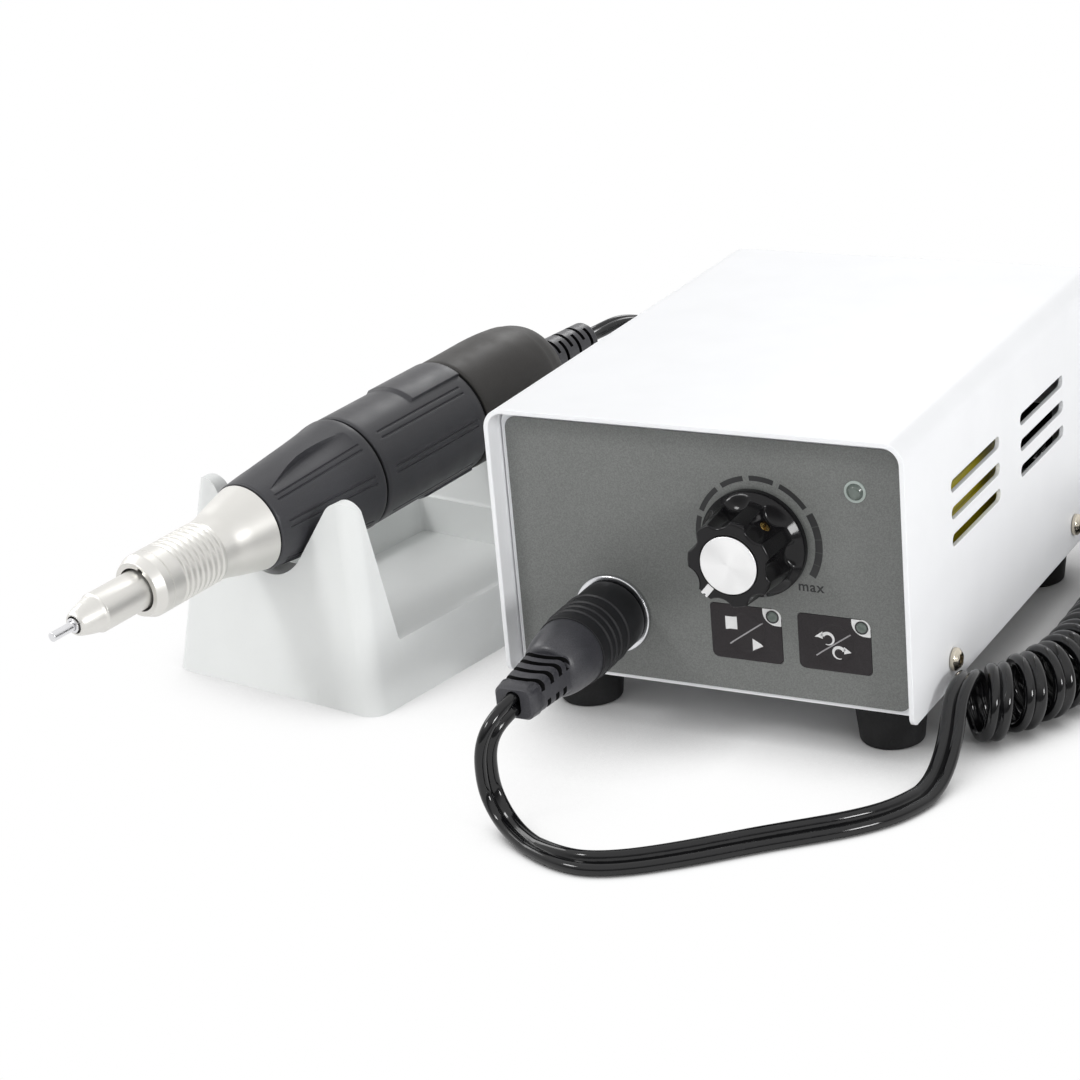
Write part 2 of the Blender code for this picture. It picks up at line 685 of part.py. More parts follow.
def make_cover(shell):
    """Bent sheet cover, open below and at both ends, with vents and screw holes through both sides."""
    outer = [(0, 0, 0), (0, UNIT_HEIGHT, COVER_BEND), (UNIT_WIDTH, UNIT_HEIGHT, COVER_BEND), (UNIT_WIDTH, 0, 0)]
    top = UNIT_HEIGHT - SHEET
    bend = COVER_BEND - SHEET
    inner = [(UNIT_WIDTH - SHEET, 0, 0), (UNIT_WIDTH - SHEET, top, bend), (SHEET, top, bend), (SHEET, 0, 0)]
    cover = add_node("cover", extruded(rounded(outer + inner), 0, UNIT_DEPTH, "Y"), "white_paint", shell)
    left, right = -OVERRUN, UNIT_WIDTH + OVERRUN
    tools = [
        corner_waste((0, 0), (1, 1), COVER_CORNER, left, right, "X"),
        corner_waste((UNIT_DEPTH, 0), (-1, 1), COVER_CORNER, left, right, "X"),
    ]
    groups = ((VENT_FRONT_SETBACK, VENT_FRONT_LENGTH), (VENT_REAR_SETBACK, VENT_REAR_LENGTH))
    for setback, length in groups:
        for row in range(VENT_ROWS):
            centre = (setback + length / 2, UNIT_HEIGHT - VENT_TOP_DROP - row * VENT_PITCH)
            slot = rectangle(length, VENT_HEIGHT, VENT_HEIGHT / 2, centre, steps=ARC_STEPS // 2)
            tools.append(extruded(slot, left, right, "X"))
    for setback in screw_setbacks().values():
        hole = circle(SCREW_SHANK_RADIUS + FIT, (setback, SCREW_RISE))
        tools.append(extruded(hole, left, right, "X"))
    cut(cover, *tools)


def make_tray(shell):
    """Chassis tray: floor, front plate and rear plate in one bent sheet, with flanges and bosses."""
    front = PANEL_SETBACK + LABEL_THICKNESS + FIT
    rear = UNIT_DEPTH - PANEL_SETBACK
    top = UNIT_HEIGHT - SHEET - FIT
    left = SHEET + FIT
    right = UNIT_WIDTH - left
    outline = [
        (front, 0), (rear, 0), (rear, top), (rear - SHEET, top), (rear - SHEET, SHEET),
        (front + SHEET, SHEET), (front + SHEET, top), (front, top),
    ]
    tray = add_node("chassis_tray", extruded(outline, left, right, "X"), "white_paint", shell)
    parts = []
    for x in (left, right - SHEET):
        ends = (FLANGE_END_MARGIN, UNIT_DEPTH - FLANGE_END_MARGIN)
        parts.append(box((x, ends[0], SHEET / 2), (x + SHEET, ends[1], FLANGE_HEIGHT)))
    for x in (BOARD_X + BOARD_BOSS_INSET, BOARD_X + BOARD_WIDTH - BOARD_BOSS_INSET):
        for y in (BOARD_SETBACK + BOARD_BOSS_INSET, BOARD_SETBACK + BOARD_LENGTH - BOARD_BOSS_INSET):
            parts.append(extruded(circle(BOARD_BOSS_RADIUS, (x, y)), SHEET / 2, BOARD_RISE - FIT, "Z"))
    for x, height in key_boss_places():
        outline = circle(KEY_BOSS_RADIUS, (x, height), SIDES_SMALL // 2)
        parts.append(extruded(outline, front + SHEET / 2, PANEL_SETBACK + KEY_BOARD_SETBACK - FIT, "Y"))
    add(tray, *parts)
    cut(tray, *tray_holes(front, rear, left, right, top))


def tray_holes(front, rear, left, right, top):
    """Cutters for the tray: its top corners and every hole for what passes through it."""
    tools = []
    for corner, inward in (((left, top), (1, -1)), ((right, top), (-1, -1))):
        tools.append(corner_waste(corner, inward, COVER_BEND - SHEET, front - OVERRUN, rear + OVERRUN, "Y"))
    before, behind = front - OVERRUN, front + SHEET + OVERRUN
    for outline in panel_holes():
        tools.append(extruded(outline, before, behind, "Y"))
    for setback in screw_setbacks().values():
        hole = circle(SCREW_SHANK_RADIUS + FIT, (setback, SCREW_RISE))
        tools.append(extruded(hole, left - OVERRUN, right + OVERRUN, "X"))
    for place in foot_places().values():
        tools.append(extruded(circle(FOOT_STEM_RADIUS + FIT, place), -OVERRUN, SHEET + OVERRUN, "Z"))
    places = rear_places()
    switch = [size + 2 * FIT for size in switch_body()]
    inlet = [INLET_WIDTH + 2 * FIT, INLET_HEIGHT + 2 * FIT]
    shapes = [
        rectangle(*inlet, centre=places["inlet"]), rectangle(*switch, centre=places["switch"]),
        circle(FUSE_BARREL_RADIUS + FIT, places["fuse"]), circle(PEDAL_BARREL_RADIUS + FIT, places["pedal"]),
    ]
    for outline in shapes:
        tools.append(extruded(outline, rear - SHEET - OVERRUN, rear + OVERRUN, "Y"))
    return tools


def panel_holes():
    """Outlines that both the label and the front plate leave open."""
    holes = [
        circle(POT_BUSH_RADIUS + FIT, (KNOB_X, KNOB_HEIGHT)),
        circle(SOCKET_BARREL_RADIUS + FIT, (SOCKET_X, SOCKET_HEIGHT), SIDES_MEDIUM),
        circle(POWER_LAMP_RADIUS + FIT, (POWER_LAMP_X, POWER_LAMP_HEIGHT)),
    ]
    for centre in key_places().values():
        holes.append(rectangle(KEY_WIDTH + 2 * FIT, KEY_HEIGHT + 2 * FIT, KEY_CORNER + FIT, centre, ARC_STEPS // 2))
    return holes


def make_label(panel):
    """Printed front label."""
    left, right = LABEL_SIDE_MARGIN, UNIT_WIDTH - LABEL_SIDE_MARGIN
    bottom, top = LABEL_BOTTOM_MARGIN, UNIT_HEIGHT - LABEL_TOP_MARGIN
    outline = rectangle(right - left, top - bottom, LABEL_CORNER, ((left + right) / 2, (bottom + top) / 2))
    label = add_node("front_label", extruded(outline, -LABEL_THICKNESS, 0), "grey_label", panel)
    cut(label, *[extruded(hole, -LABEL_THICKNESS - OVERRUN, OVERRUN) for hole in panel_holes()])


def make_keys(panel):
    """Two sprung keys that press on the key board, each with a lamp in its upper right corner."""
    lip_front = PANEL_BACK - FIT
    lip_back = lip_front - KEY_LIP_THICKNESS
    stem_end = -KEY_BOARD_SETBACK + KEY_TRAVEL + FIT
    width, height = KEY_WIDTH + 2 * KEY_LIP, KEY_HEIGHT + 2 * KEY_LIP
    stem = 2 * KEY_STEM_RADIUS
    sections = (
        (KEY_WIDTH, KEY_HEIGHT, KEY_CORNER, KEY_PROUD), (KEY_WIDTH, KEY_HEIGHT, KEY_CORNER, lip_front),
        (width, height, KEY_CORNER + KEY_LIP, lip_front), (width, height, KEY_CORNER + KEY_LIP, lip_back),
        (stem, stem, KEY_STEM_RADIUS, lip_back), (stem, stem, KEY_STEM_RADIUS, stem_end),
    )
    for name, (x, y) in key_places().items():
        key = add_node(name, stacked(sections, ARC_STEPS // 2), "key_film", panel, (x, y, 0))
        hole = circle(LAMP_RADIUS + FIT, (LAMP_SIDE, LAMP_RISE))
        cut(key, extruded(hole, lip_back - OVERRUN, KEY_PROUD + OVERRUN))
    lamp = (
        (0, FIT - KEY_BOARD_SETBACK), (LAMP_RADIUS, FIT - KEY_BOARD_SETBACK), (LAMP_RADIUS, KEY_PROUD),
        (LAMP_RADIUS * math.cos(math.pi / 4), KEY_PROUD + LAMP_PROUD * math.sin(math.pi / 4)),
        (0, KEY_PROUD + LAMP_PROUD),
    )
    for name, (x, y) in zip(("start_lamp", "direction_lamp"), key_places().values()):
        add_node(name, turned(lamp, SIDES_SMALL), "lens", panel, (x + LAMP_SIDE, y + LAMP_RISE, 0))


def key_board_edges():
    """Left, right, lower and upper edge of the key board on the panel."""
    half = KEY_WIDTH / 2 + KEY_BOARD_MARGIN + KEY_LIP + 2 * KEY_BOSS_RADIUS
    tall = KEY_HEIGHT / 2 + KEY_BOARD_MARGIN + KEY_LIP
    return START_KEY_X - half, DIRECTION_KEY_X + half, KEY_ROW_HEIGHT - tall, KEY_ROW_HEIGHT + tall


def key_boss_places():
    """Middle of each boss that carries the key board, clear of the lips of the keys."""
    left, right, low, high = key_board_edges()
    columns = (left + KEY_BOSS_RADIUS, right - KEY_BOSS_RADIUS)
    return [(x, z) for x in columns for z in (low + KEY_BOSS_RADIUS, high - KEY_BOSS_RADIUS)]


def make_key_board(panel):
    """Board with the key switches and lamps."""
    left, right, low, high = key_board_edges()
    board = box((left, low, -KEY_BOARD_SETBACK - KEY_BOARD_THICKNESS), (right, high, -KEY_BOARD_SETBACK))
    add_node("key_board", board, "board", panel)


def make_power_lamp(panel):
    """Round lens that shows the unit is on."""
    back = PANEL_BACK - FIT
    radius = POWER_LAMP_RADIUS
    profile = [(0, back - POWER_LAMP_DEPTH), (radius, back - POWER_LAMP_DEPTH), (radius, back - POWER_LAMP_FLANGE)]
    profile += [(radius + POWER_LAMP_FLANGE, back - POWER_LAMP_FLANGE), (radius + POWER_LAMP_FLANGE, back)]
    profile += [(radius, back)]
    profile += [(x, FIT + y * POWER_LAMP_DOME / radius) for x, y in arc((0, 0), radius, 0, math.pi / 2, 3)[:-1]]
    profile.append((0, FIT + POWER_LAMP_DOME))
    place = (POWER_LAMP_X, POWER_LAMP_HEIGHT, 0)
    add_node("power_lamp", turned(profile, SIDES_SMALL), "lens", panel, place)


def knob_radius(angle, radius, height):
    """Radius of the knob's outside, drawn in by a flute at each eighth turn above the shoulder."""
    start = KNOB_LIFT + KNOB_SKIRT_LENGTH + KNOB_SHOULDER_LENGTH
    if height <= start or radius <= KNOB_CAP_RADIUS + FIT:
        return radius
    wave = (1 + math.cos(KNOB_FLUTES * (angle - KNOB_FLUTE_PHASE))) / 2
    return radius - KNOB_FLUTE_DEPTH * wave ** 2


def make_knob(speed):
    """Fluted speed knob with its spun cap and set screw, on the axis of the potentiometer."""
    front = KNOB_LIFT + KNOB_LENGTH
    hollow = KNOB_LIFT + KNOB_HOLLOW_DEPTH
    hollow_radius = POT_NUT_HALF_FLATS / math.cos(math.pi / 6) + 2 * FIT
    bore = POT_SHAFT_RADIUS + FIT
    cap_seat = front - (KNOB_CAP_THICKNESS - KNOB_CAP_PROUD) - FIT
    bore_end = cap_seat - KNOB_BORE_LAND
    shoulder = KNOB_LIFT + KNOB_SKIRT_LENGTH
    flutes = shoulder + KNOB_SHOULDER_LENGTH
    profile = [
        (0, bore_end), (bore, bore_end), (bore, hollow), (hollow_radius, hollow), (hollow_radius, KNOB_LIFT),
        (KNOB_SKIRT_RADIUS, KNOB_LIFT), (KNOB_SKIRT_RADIUS, shoulder), (KNOB_SHOULDER_RADIUS, flutes),
        (KNOB_SHOULDER_RADIUS - KNOB_EDGE, flutes + KNOB_EDGE), (KNOB_CROWN_RADIUS, front - KNOB_EDGE),
        (KNOB_CROWN_RADIUS - KNOB_EDGE, front), (KNOB_CAP_RADIUS + FIT, front), (KNOB_CAP_RADIUS + FIT, cap_seat),
        (0, cap_seat),
    ]
    knob = add_node("speed_knob", turned(profile, 6 * KNOB_FLUTES, knob_radius), "black_plastic", speed)
    reach = KNOB_SHOULDER_RADIUS + OVERRUN
    hole = turned([(0, bore - FIT), (SET_SCREW_RADIUS + FIT, bore - FIT), (SET_SCREW_RADIUS + FIT, reach), (0, reach)],
                  SIDES_SMALL)
    cut(knob, aimed(hole))
    cap_back = cap_seat + FIT
    disc = [(0, cap_back), (KNOB_CAP_RADIUS, cap_back), (KNOB_CAP_RADIUS, cap_back + KNOB_CAP_THICKNESS),
            (0, cap_back + KNOB_CAP_THICKNESS)]
    add_node("knob_cap", turned(disc, SIDES_MEDIUM), "spun_aluminium", speed)
    head = KNOB_CROWN_RADIUS - KNOB_FLUTE_DEPTH - SET_SCREW_HEAD_DROP
    pin = [(0, bore), (SET_SCREW_RADIUS, bore), (SET_SCREW_RADIUS, head), (0, head)]
    screw = add_node("knob_set_screw", aimed(turned(pin, SIDES_SMALL)), "brass", speed)
    half = SET_SCREW_SLOT / 2
    slot = box((-SET_SCREW_RADIUS - OVERRUN, -half, head - SET_SCREW_SLOT_DEPTH),
               (SET_SCREW_RADIUS + OVERRUN, half, head + OVERRUN))
    cut(screw, aimed(slot))


def aimed(solid):
    """Turns a solid from the Z axis to the radial line of the knob's set screw, level with the screw."""
    turn = Matrix.Rotation(SET_SCREW_ANGLE - math.pi / 2, 3, "Z") @ Matrix.Rotation(-math.pi / 2, 3, "X")
    bmesh.ops.rotate(solid, verts=solid.verts, matrix=turn)
    return moved(solid, (0, 0, KNOB_LIFT + SET_SCREW_SETBACK))


def make_potentiometer(panel, speed):
    """Potentiometer behind the plate, its nut in front, and the shaft that carries the knob."""
    back = PANEL_BACK - FIT
    bush_end = POT_BUSH_PROUD
    floor = back - POT_SHAFT_SEAT
    bore = POT_SHAFT_RADIUS + FIT
    body = [
        (0, back - POT_BODY_DEPTH), (POT_BODY_RADIUS, back - POT_BODY_DEPTH), (POT_BODY_RADIUS, back),
        (POT_BUSH_RADIUS, back), (POT_BUSH_RADIUS, bush_end), (bore, bush_end), (bore, floor), (0, floor),
    ]
    place = (KNOB_X, KNOB_HEIGHT, 0)
    add_node("potentiometer_body", turned(body), "steel", panel, place)
    flats = POT_NUT_HALF_FLATS
    nut_bore = POT_BUSH_RADIUS + FIT

    def hexagon(angle, radius, height):
        """Six flats for the outer rings, round for the bore."""
        if radius < flats:
            return radius
        return flats / math.cos(angle % (math.pi / 3) - math.pi / 6)

    nut = [(nut_bore, FIT), (flats, FIT), (flats, FIT + POT_NUT_THICKNESS), (nut_bore, FIT + POT_NUT_THICKNESS)]
    add_node("potentiometer_nut", turned(nut, SIDES_MEDIUM, hexagon, True), "steel", panel, place)
    cap_seat = KNOB_LIFT + KNOB_LENGTH - (KNOB_CAP_THICKNESS - KNOB_CAP_PROUD) - FIT
    tip = cap_seat - KNOB_BORE_LAND - FIT
    shaft = [(0, floor + FIT), (POT_SHAFT_RADIUS, floor + FIT), (POT_SHAFT_RADIUS, tip), (0, tip)]
    add_node("potentiometer_shaft", turned(shaft, SIDES_SMALL), "steel", speed)


def make_socket(panel):
    """Bright socket ring through the panel, with the black insert that takes the plug's pin."""
    place = (SOCKET_X, SOCKET_HEIGHT, 0)
    face = FIT + SOCKET_RING_THICKNESS
    bore = SOCKET_INSERT_RADIUS + FIT
    ring = [
        (bore, -SOCKET_BARREL_DEPTH), (SOCKET_BARREL_RADIUS, -SOCKET_BARREL_DEPTH), (SOCKET_BARREL_RADIUS, FIT),
        (SOCKET_RING_RADIUS, FIT), (SOCKET_RING_RADIUS, face), (bore, face),
    ]
    add_node("socket_ring", turned(ring, SIDES_LARGE, closed=True), "spun_aluminium", panel, place)
    shoulder = -SOCKET_BARREL_DEPTH - FIT
    back = shoulder - SOCKET_INSERT_BACK
    well = SOCKET_INSERT_RADIUS - SOCKET_INSERT_WALL
    insert = [
        (0, back), (SOCKET_BARREL_RADIUS, back), (SOCKET_BARREL_RADIUS, shoulder),
        (SOCKET_INSERT_RADIUS, shoulder), (SOCKET_INSERT_RADIUS, FIT), (well, FIT), (well, -SOCKET_WELL_DEPTH),
        (0, -SOCKET_WELL_DEPTH),
    ]
    add_node("socket_insert", turned(insert), "black_plastic", panel, place)


def make_plug(plug):
    """Cord plug with its round pin, and the slotted strain relief that grips the cord."""
    back = PLUG_STAND_OFF
    dome = back + PLUG_BARREL_LENGTH
    end = dome + PLUG_DOME_LENGTH
    hole = PLUG_NECK_RADIUS + FIT
    profile = [(0, -PLUG_PIN_LENGTH + back), (PLUG_PIN_RADIUS, -PLUG_PIN_LENGTH + back), (PLUG_PIN_RADIUS, back)]
    profile.append((PLUG_RADIUS, back))
    fall = PLUG_RADIUS - PLUG_END_RADIUS
    for x, y in arc((0, 0), 1, 0, math.pi / 2, ARC_STEPS + 1):
        profile.append((PLUG_END_RADIUS + fall * x, dome + PLUG_DOME_LENGTH * y))
    profile += [(hole, end), (hole, end - PLUG_NECK_LENGTH - FIT), (0, end - PLUG_NECK_LENGTH - FIT)]
    add_node("handpiece_plug", turned(profile, SIDES_LARGE), "black_plastic", plug)
    root = end + FIT
    tip = root + PLUG_RELIEF_LENGTH
    block = tip - PLUG_RELIEF_BLOCK
    width, height, corner = PLUG_RELIEF_WIDTH, PLUG_RELIEF_HEIGHT, PLUG_RELIEF_CORNER
    share = PLUG_RELIEF_TAPER_SHARE
    neck = 2 * PLUG_NECK_RADIUS
    relief = add_node("plug_strain_relief", stacked((
        (neck, neck, PLUG_NECK_RADIUS, root - PLUG_NECK_LENGTH), (neck, neck, PLUG_NECK_RADIUS, root),
        (width, height, corner, root), (width * share, height * share, corner, block),
        (width, height, corner, block + PLUG_RELIEF_SLOT), (width * share, height * share, corner, tip),
    )), "soft_black", plug)
    pitch = (block - root) / (PLUG_RELIEF_SLOTS + 1)
    tools = []
    for i in range(PLUG_RELIEF_SLOTS):
        z = root + pitch * (i + 1)
        reach = height / 2 - PLUG_RELIEF_SLOT_DEPTH
        for low, high in ((reach, height), (-height, -reach)):
            tools.append(box((-width, low, z - PLUG_RELIEF_SLOT / 2), (width, high, z + PLUG_RELIEF_SLOT / 2)))
    cut(relief, *tools)
    return tip + FIT


def make_feet(shell):
    """Push in rubber feet."""
    barb = SHEET + FIT
    profile = (
        (0, -FOOT_HEIGHT), (FOOT_SOLE_RADIUS - FOOT_EDGE, -FOOT_HEIGHT), (FOOT_SOLE_RADIUS, FOOT_EDGE - FOOT_HEIGHT),
        (FOOT_TOP_RADIUS, -FIT), (FOOT_STEM_RADIUS, -FIT), (FOOT_STEM_RADIUS, barb), (FOOT_BARB_RADIUS, barb),
        (FOOT_STEM_RADIUS, barb + FOOT_BARB_LENGTH), (0, barb + FOOT_BARB_LENGTH),
    )
    for name, (x, y) in foot_places().items():
        add_node(name, turned(profile, SIDES_SMALL), "rubber", shell, (x, y, 0))


def make_cover_screws(shell):
    """Pan head screws that hold the cover to the flanges of the tray."""
    head = FIT + SCREW_HEAD_HEIGHT
    edge = SCREW_HEAD_RADIUS / 3
    profile = (
        (0, -SCREW_SHANK_LENGTH), (SCREW_SHANK_RADIUS, -SCREW_SHANK_LENGTH), (SCREW_SHANK_RADIUS, FIT),
        (SCREW_HEAD_RADIUS, FIT), (SCREW_HEAD_RADIUS, head - edge), (SCREW_HEAD_RADIUS - edge, head), (0, head),
    )
    half, span = SCREW_RECESS_WIDTH / 2, SCREW_RECESS_SPAN / 2
    cross = [(u * a, v * b) for u, v in ((1, 1), (-1, 1), (-1, -1), (1, -1))
             for a, b in (((span, half), (half, half), (half, span)) if u == v else
                          ((half, span), (half, half), (span, half)))]
    for end, setback in screw_setbacks().items():
        for side, x, turn in (("left", 0, -math.pi / 2), ("right", UNIT_WIDTH, math.pi / 2)):
            place = (x, setback, SCREW_RISE)
            solid = turned(profile, SIDES_SMALL)
            screw = add_node(f"cover_screw_{end}_{side}", solid, "steel", shell, place, (0, turn, 0))
            cut(screw, extruded(cross, head - SCREW_RECESS_DEPTH, head + OVERRUN))


def make_transformer(shell):
    """Laminated core with two windows, and the taped winding round its middle leg."""
    floor = SHEET + FIT
    back = CORE_SETBACK + CORE_LENGTH
    left, right = CORE_X - CORE_STACK / 2, CORE_X + CORE_STACK / 2
    core = add_node("transformer_core", box((left, CORE_SETBACK, floor), (right, back, floor + CORE_HEIGHT)),
                    "core_iron", shell)
    outer_leg = CORE_WINDOW_WIDTH
    yoke = (CORE_HEIGHT - CORE_WINDOW_HEIGHT) / 2
    low, high = floor + yoke, floor + CORE_HEIGHT - yoke
    windows = ((CORE_SETBACK + outer_leg, CORE_SETBACK + outer_leg + CORE_WINDOW_WIDTH),
               (back - outer_leg - CORE_WINDOW_WIDTH, back - outer_leg))
    cut(core, *[box((left - OVERRUN, y0, low), (right + OVERRUN, y1, high)) for y0, y1 in windows])
    outer = (left - WINDING_SIDE, windows[0][0] + FIT, right + WINDING_SIDE, windows[1][1] - FIT)
    inner = (left - FIT, windows[0][1] - FIT, right + FIT, windows[1][0] + FIT)
    rings = []
    for (x0, y0, x1, y1), z in ((outer, low + FIT), (outer, high - FIT), (inner, high - FIT), (inner, low + FIT)):
        rings.append([(x0, y0, z), (x1, y0, z), (x1, y1, z), (x0, y1, z)])
    add_node("transformer_winding", loft(rings, True), "winding_tape", shell)


def make_circuit_board(shell):
    """Speed control board on its bosses, with a finned heat sink and a capacitor standing on it."""
    top = BOARD_RISE + BOARD_THICKNESS
    corner = (BOARD_X + BOARD_WIDTH, BOARD_SETBACK + BOARD_LENGTH, top)
    add_node("circuit_board", box((BOARD_X, BOARD_SETBACK, BOARD_RISE), corner), "board", shell)
    half = SINK_WIDTH / 2
    pitch = (SINK_WIDTH - SINK_FIN) / (SINK_FINS - 1)
    comb = [(half, 0), (-half, 0)]
    for i in range(SINK_FINS):
        x = -half + i * pitch
        comb += [(x, SINK_BASE), (x, SINK_BASE + SINK_FIN_LENGTH), (x + SINK_FIN, SINK_BASE + SINK_FIN_LENGTH),
                 (x + SINK_FIN, SINK_BASE)]
    comb = [point for i, point in enumerate(comb) if i not in (2, len(comb) - 1)]
    place = (BOARD_X + BOARD_WIDTH / 2, BOARD_SETBACK + SINK_MARGIN, top + FIT)
    add_node("heat_sink", extruded(comb, 0, SINK_HEIGHT), "spun_aluminium", shell, place)
    groove = CAPACITOR_RADIUS - CAPACITOR_GROOVE
    can = (
        (0, 0), (CAPACITOR_RADIUS, 0), (CAPACITOR_RADIUS, CAPACITOR_RADIUS / 4), (groove, CAPACITOR_RADIUS / 3),
        (CAPACITOR_RADIUS, CAPACITOR_RADIUS / 2), (CAPACITOR_RADIUS, CAPACITOR_HEIGHT), (0, CAPACITOR_HEIGHT),
    )
    place = (BOARD_X + CAPACITOR_MARGIN, BOARD_SETBACK + BOARD_LENGTH - CAPACITOR_MARGIN, top + FIT)
    add_node("capacitor", turned(can, SIDES_SMALL), "black_plastic", shell, place)


def make_rear_fittings(back):
    """Mains inlet, switch housing, fuse holder and pedal socket, in the frame of the rear plate."""
    places = {name: (UNIT_WIDTH - x, height, 0) for name, (x, height) in rear_places().items()}
    flange = INLET_FLANGE_MARGIN
    wide, tall = INLET_WIDTH + 2 * flange, INLET_HEIGHT + 2 * flange
    inlet = add_node("mains_inlet", stacked((
        (wide, tall, flange, FIT + REAR_FLANGE), (wide, tall, flange, FIT),
        (INLET_WIDTH, INLET_HEIGHT, flange / 2, FIT), (INLET_WIDTH, INLET_HEIGHT, flange / 2, -INLET_DEPTH),
    ), ARC_STEPS // 2), "black_plastic", back, places["inlet"])
    face = FIT + REAR_FLANGE
    well = rectangle(INLET_WIDTH - 2 * INLET_WALL, INLET_HEIGHT - 2 * INLET_WALL)
    cut(inlet, extruded(well, face - INLET_WELL_DEPTH, face + OVERRUN))
    pins = []
    spots = ((-INLET_PIN_SPREAD, -INLET_PIN_OFFSET), (INLET_PIN_SPREAD, -INLET_PIN_OFFSET), (0, INLET_PIN_OFFSET))
    for spot in spots:
        pin = rectangle(INLET_PIN_WIDTH, INLET_PIN_HEIGHT, centre=spot)
        floor = face - INLET_WELL_DEPTH
        pins.append(extruded(pin, floor - INLET_WALL / 2, floor + INLET_PIN_LENGTH))
    add(inlet, *pins)

    width, height = switch_body()
    margin = 2 * SWITCH_FLANGE_MARGIN
    housing = add_node("switch_housing", stacked((
        (width + margin, height + margin, SWITCH_FLANGE_MARGIN, face), (width + margin, height + margin,
                                                                        SWITCH_FLANGE_MARGIN, FIT),
        (width, height, SWITCH_WALL / 2, FIT), (width, height, SWITCH_WALL / 2, -SWITCH_DEPTH),
    ), ARC_STEPS // 2), "black_plastic", back, places["switch"])
    well = rectangle(width - 2 * SWITCH_WALL, height - 2 * SWITCH_WALL)
    cut(housing, extruded(well, SWITCH_FLOOR - SWITCH_DEPTH, face + OVERRUN))

    fuse = (
        (FUSE_BORE, face), (FUSE_FLANGE_RADIUS, face), (FUSE_FLANGE_RADIUS, FIT), (FUSE_BARREL_RADIUS, FIT),
        (FUSE_BARREL_RADIUS, -FUSE_BARREL_DEPTH), (FUSE_BORE, -FUSE_BARREL_DEPTH),
    )
    add_node("fuse_holder", turned(fuse, SIDES_MEDIUM, closed=True), "black_plastic", back, places["fuse"])
    pedal = (
        (0, -PEDAL_BARREL_DEPTH), (PEDAL_BARREL_RADIUS, -PEDAL_BARREL_DEPTH), (PEDAL_BARREL_RADIUS, FIT),
        (PEDAL_FLANGE_RADIUS, FIT), (PEDAL_FLANGE_RADIUS, face), (PEDAL_WELL_RADIUS, face),
        (PEDAL_WELL_RADIUS, face - PEDAL_WELL_DEPTH), (0, face - PEDAL_WELL_DEPTH),
    )
    add_node("pedal_socket", turned(pedal), "black_plastic", back, places["pedal"])
    return places


def make_rocker(pivot):
    """Power rocker on its pivot: two faces that meet in a shallow valley over the pivot."""
    reach = ROCKER_HALF_LENGTH
    edge = rocker_edge()
    rise = edge - reach * math.tan(ROCKER_TILT)
    outline = [(0, rise), (reach, edge), (reach, edge - ROCKER_DEPTH)]
    outline += [(-x, y) for x, y in reversed(outline[1:])]
    turn = -ROCKER_TILT
    tipped = [(x * math.cos(turn) - y * math.sin(turn), x * math.sin(turn) + y * math.cos(turn)) for x, y in outline]
    half = ROCKER_WIDTH / 2
    add_node("power_rocker", extruded(tipped, -half, half, "X"), "black_plastic", pivot)


def make_fuse_cap(fuse):
    """Cap of the fuse holder with the carrier that holds the fuse."""
    under = 2 * FIT + REAR_FLANGE
    carrier = FUSE_BORE - FIT
    profile = (
        (0, under - FUSE_CARRIER_LENGTH), (carrier, under - FUSE_CARRIER_LENGTH), (carrier, under),
        (FUSE_CAP_RADIUS, under), (FUSE_CAP_RADIUS, under + FUSE_CAP_LENGTH), (0, under + FUSE_CAP_LENGTH),
    )
    cap = add_node("fuse_cap", turned(profile), "black_plastic", fuse)
    half = FIT
    top = under + FUSE_CAP_LENGTH
    cut(cap, box((-FUSE_CAP_RADIUS / 2, -half, top - FUSE_CAP_LENGTH / 3), (FUSE_CAP_RADIUS / 2, half, top + OVERRUN)))


# Stand and handpiece


def wall_inner(height):
    """Where along the stand the inner faces of the front and the rear wall lie at a height."""
    depth = STAND_WALL_FOOT - (height - STAND_RAIL_HEIGHT) * math.tan(STAND_WALL_BACK_LEAN)
    return depth - STAND_LEAD, STAND_LENGTH - STAND_LEAD - depth


def grip_outline():
    """Stations and radii of the grip's outside."""
    stations = [GRIP_FRONT + share * GRIP_LENGTH for share, _ in GRIP_PROFILE_SHARES]
    spread = GRIP_REAR_RADIUS - GRIP_FRONT_RADIUS
    return stations, [GRIP_FRONT_RADIUS + share * spread for _, share in GRIP_PROFILE_SHARES]


def seat(radius_at, along_at):
    """Station and axis height where a round body of a given radius rests in the notch of a wall."""
    station = along_at(NOTCH_APEX_HEIGHT)
    for _ in range(SEAT_ROUNDS):
        radius = radius_at(station)
        height = NOTCH_APEX_HEIGHT + (radius + FIT) / math.sin(NOTCH_HALF_ANGLE)
        station = along_at(height - radius * math.sin(NOTCH_HALF_ANGLE))
    return station, height


def handpiece_rest():
    """Axis height over the stand's front edge, and upward tilt, of the handpiece as it rests."""
    front, front_height = seat(lambda s: float(np.interp(s, *grip_outline())), lambda h: wall_inner(h)[0])
    rear, rear_height = seat(lambda s: CAP_RADIUS, lambda h: wall_inner(h)[1])
    tilt = math.atan2(rear_height - front_height, rear - front)
    return front_height - front * math.tan(tilt), tilt


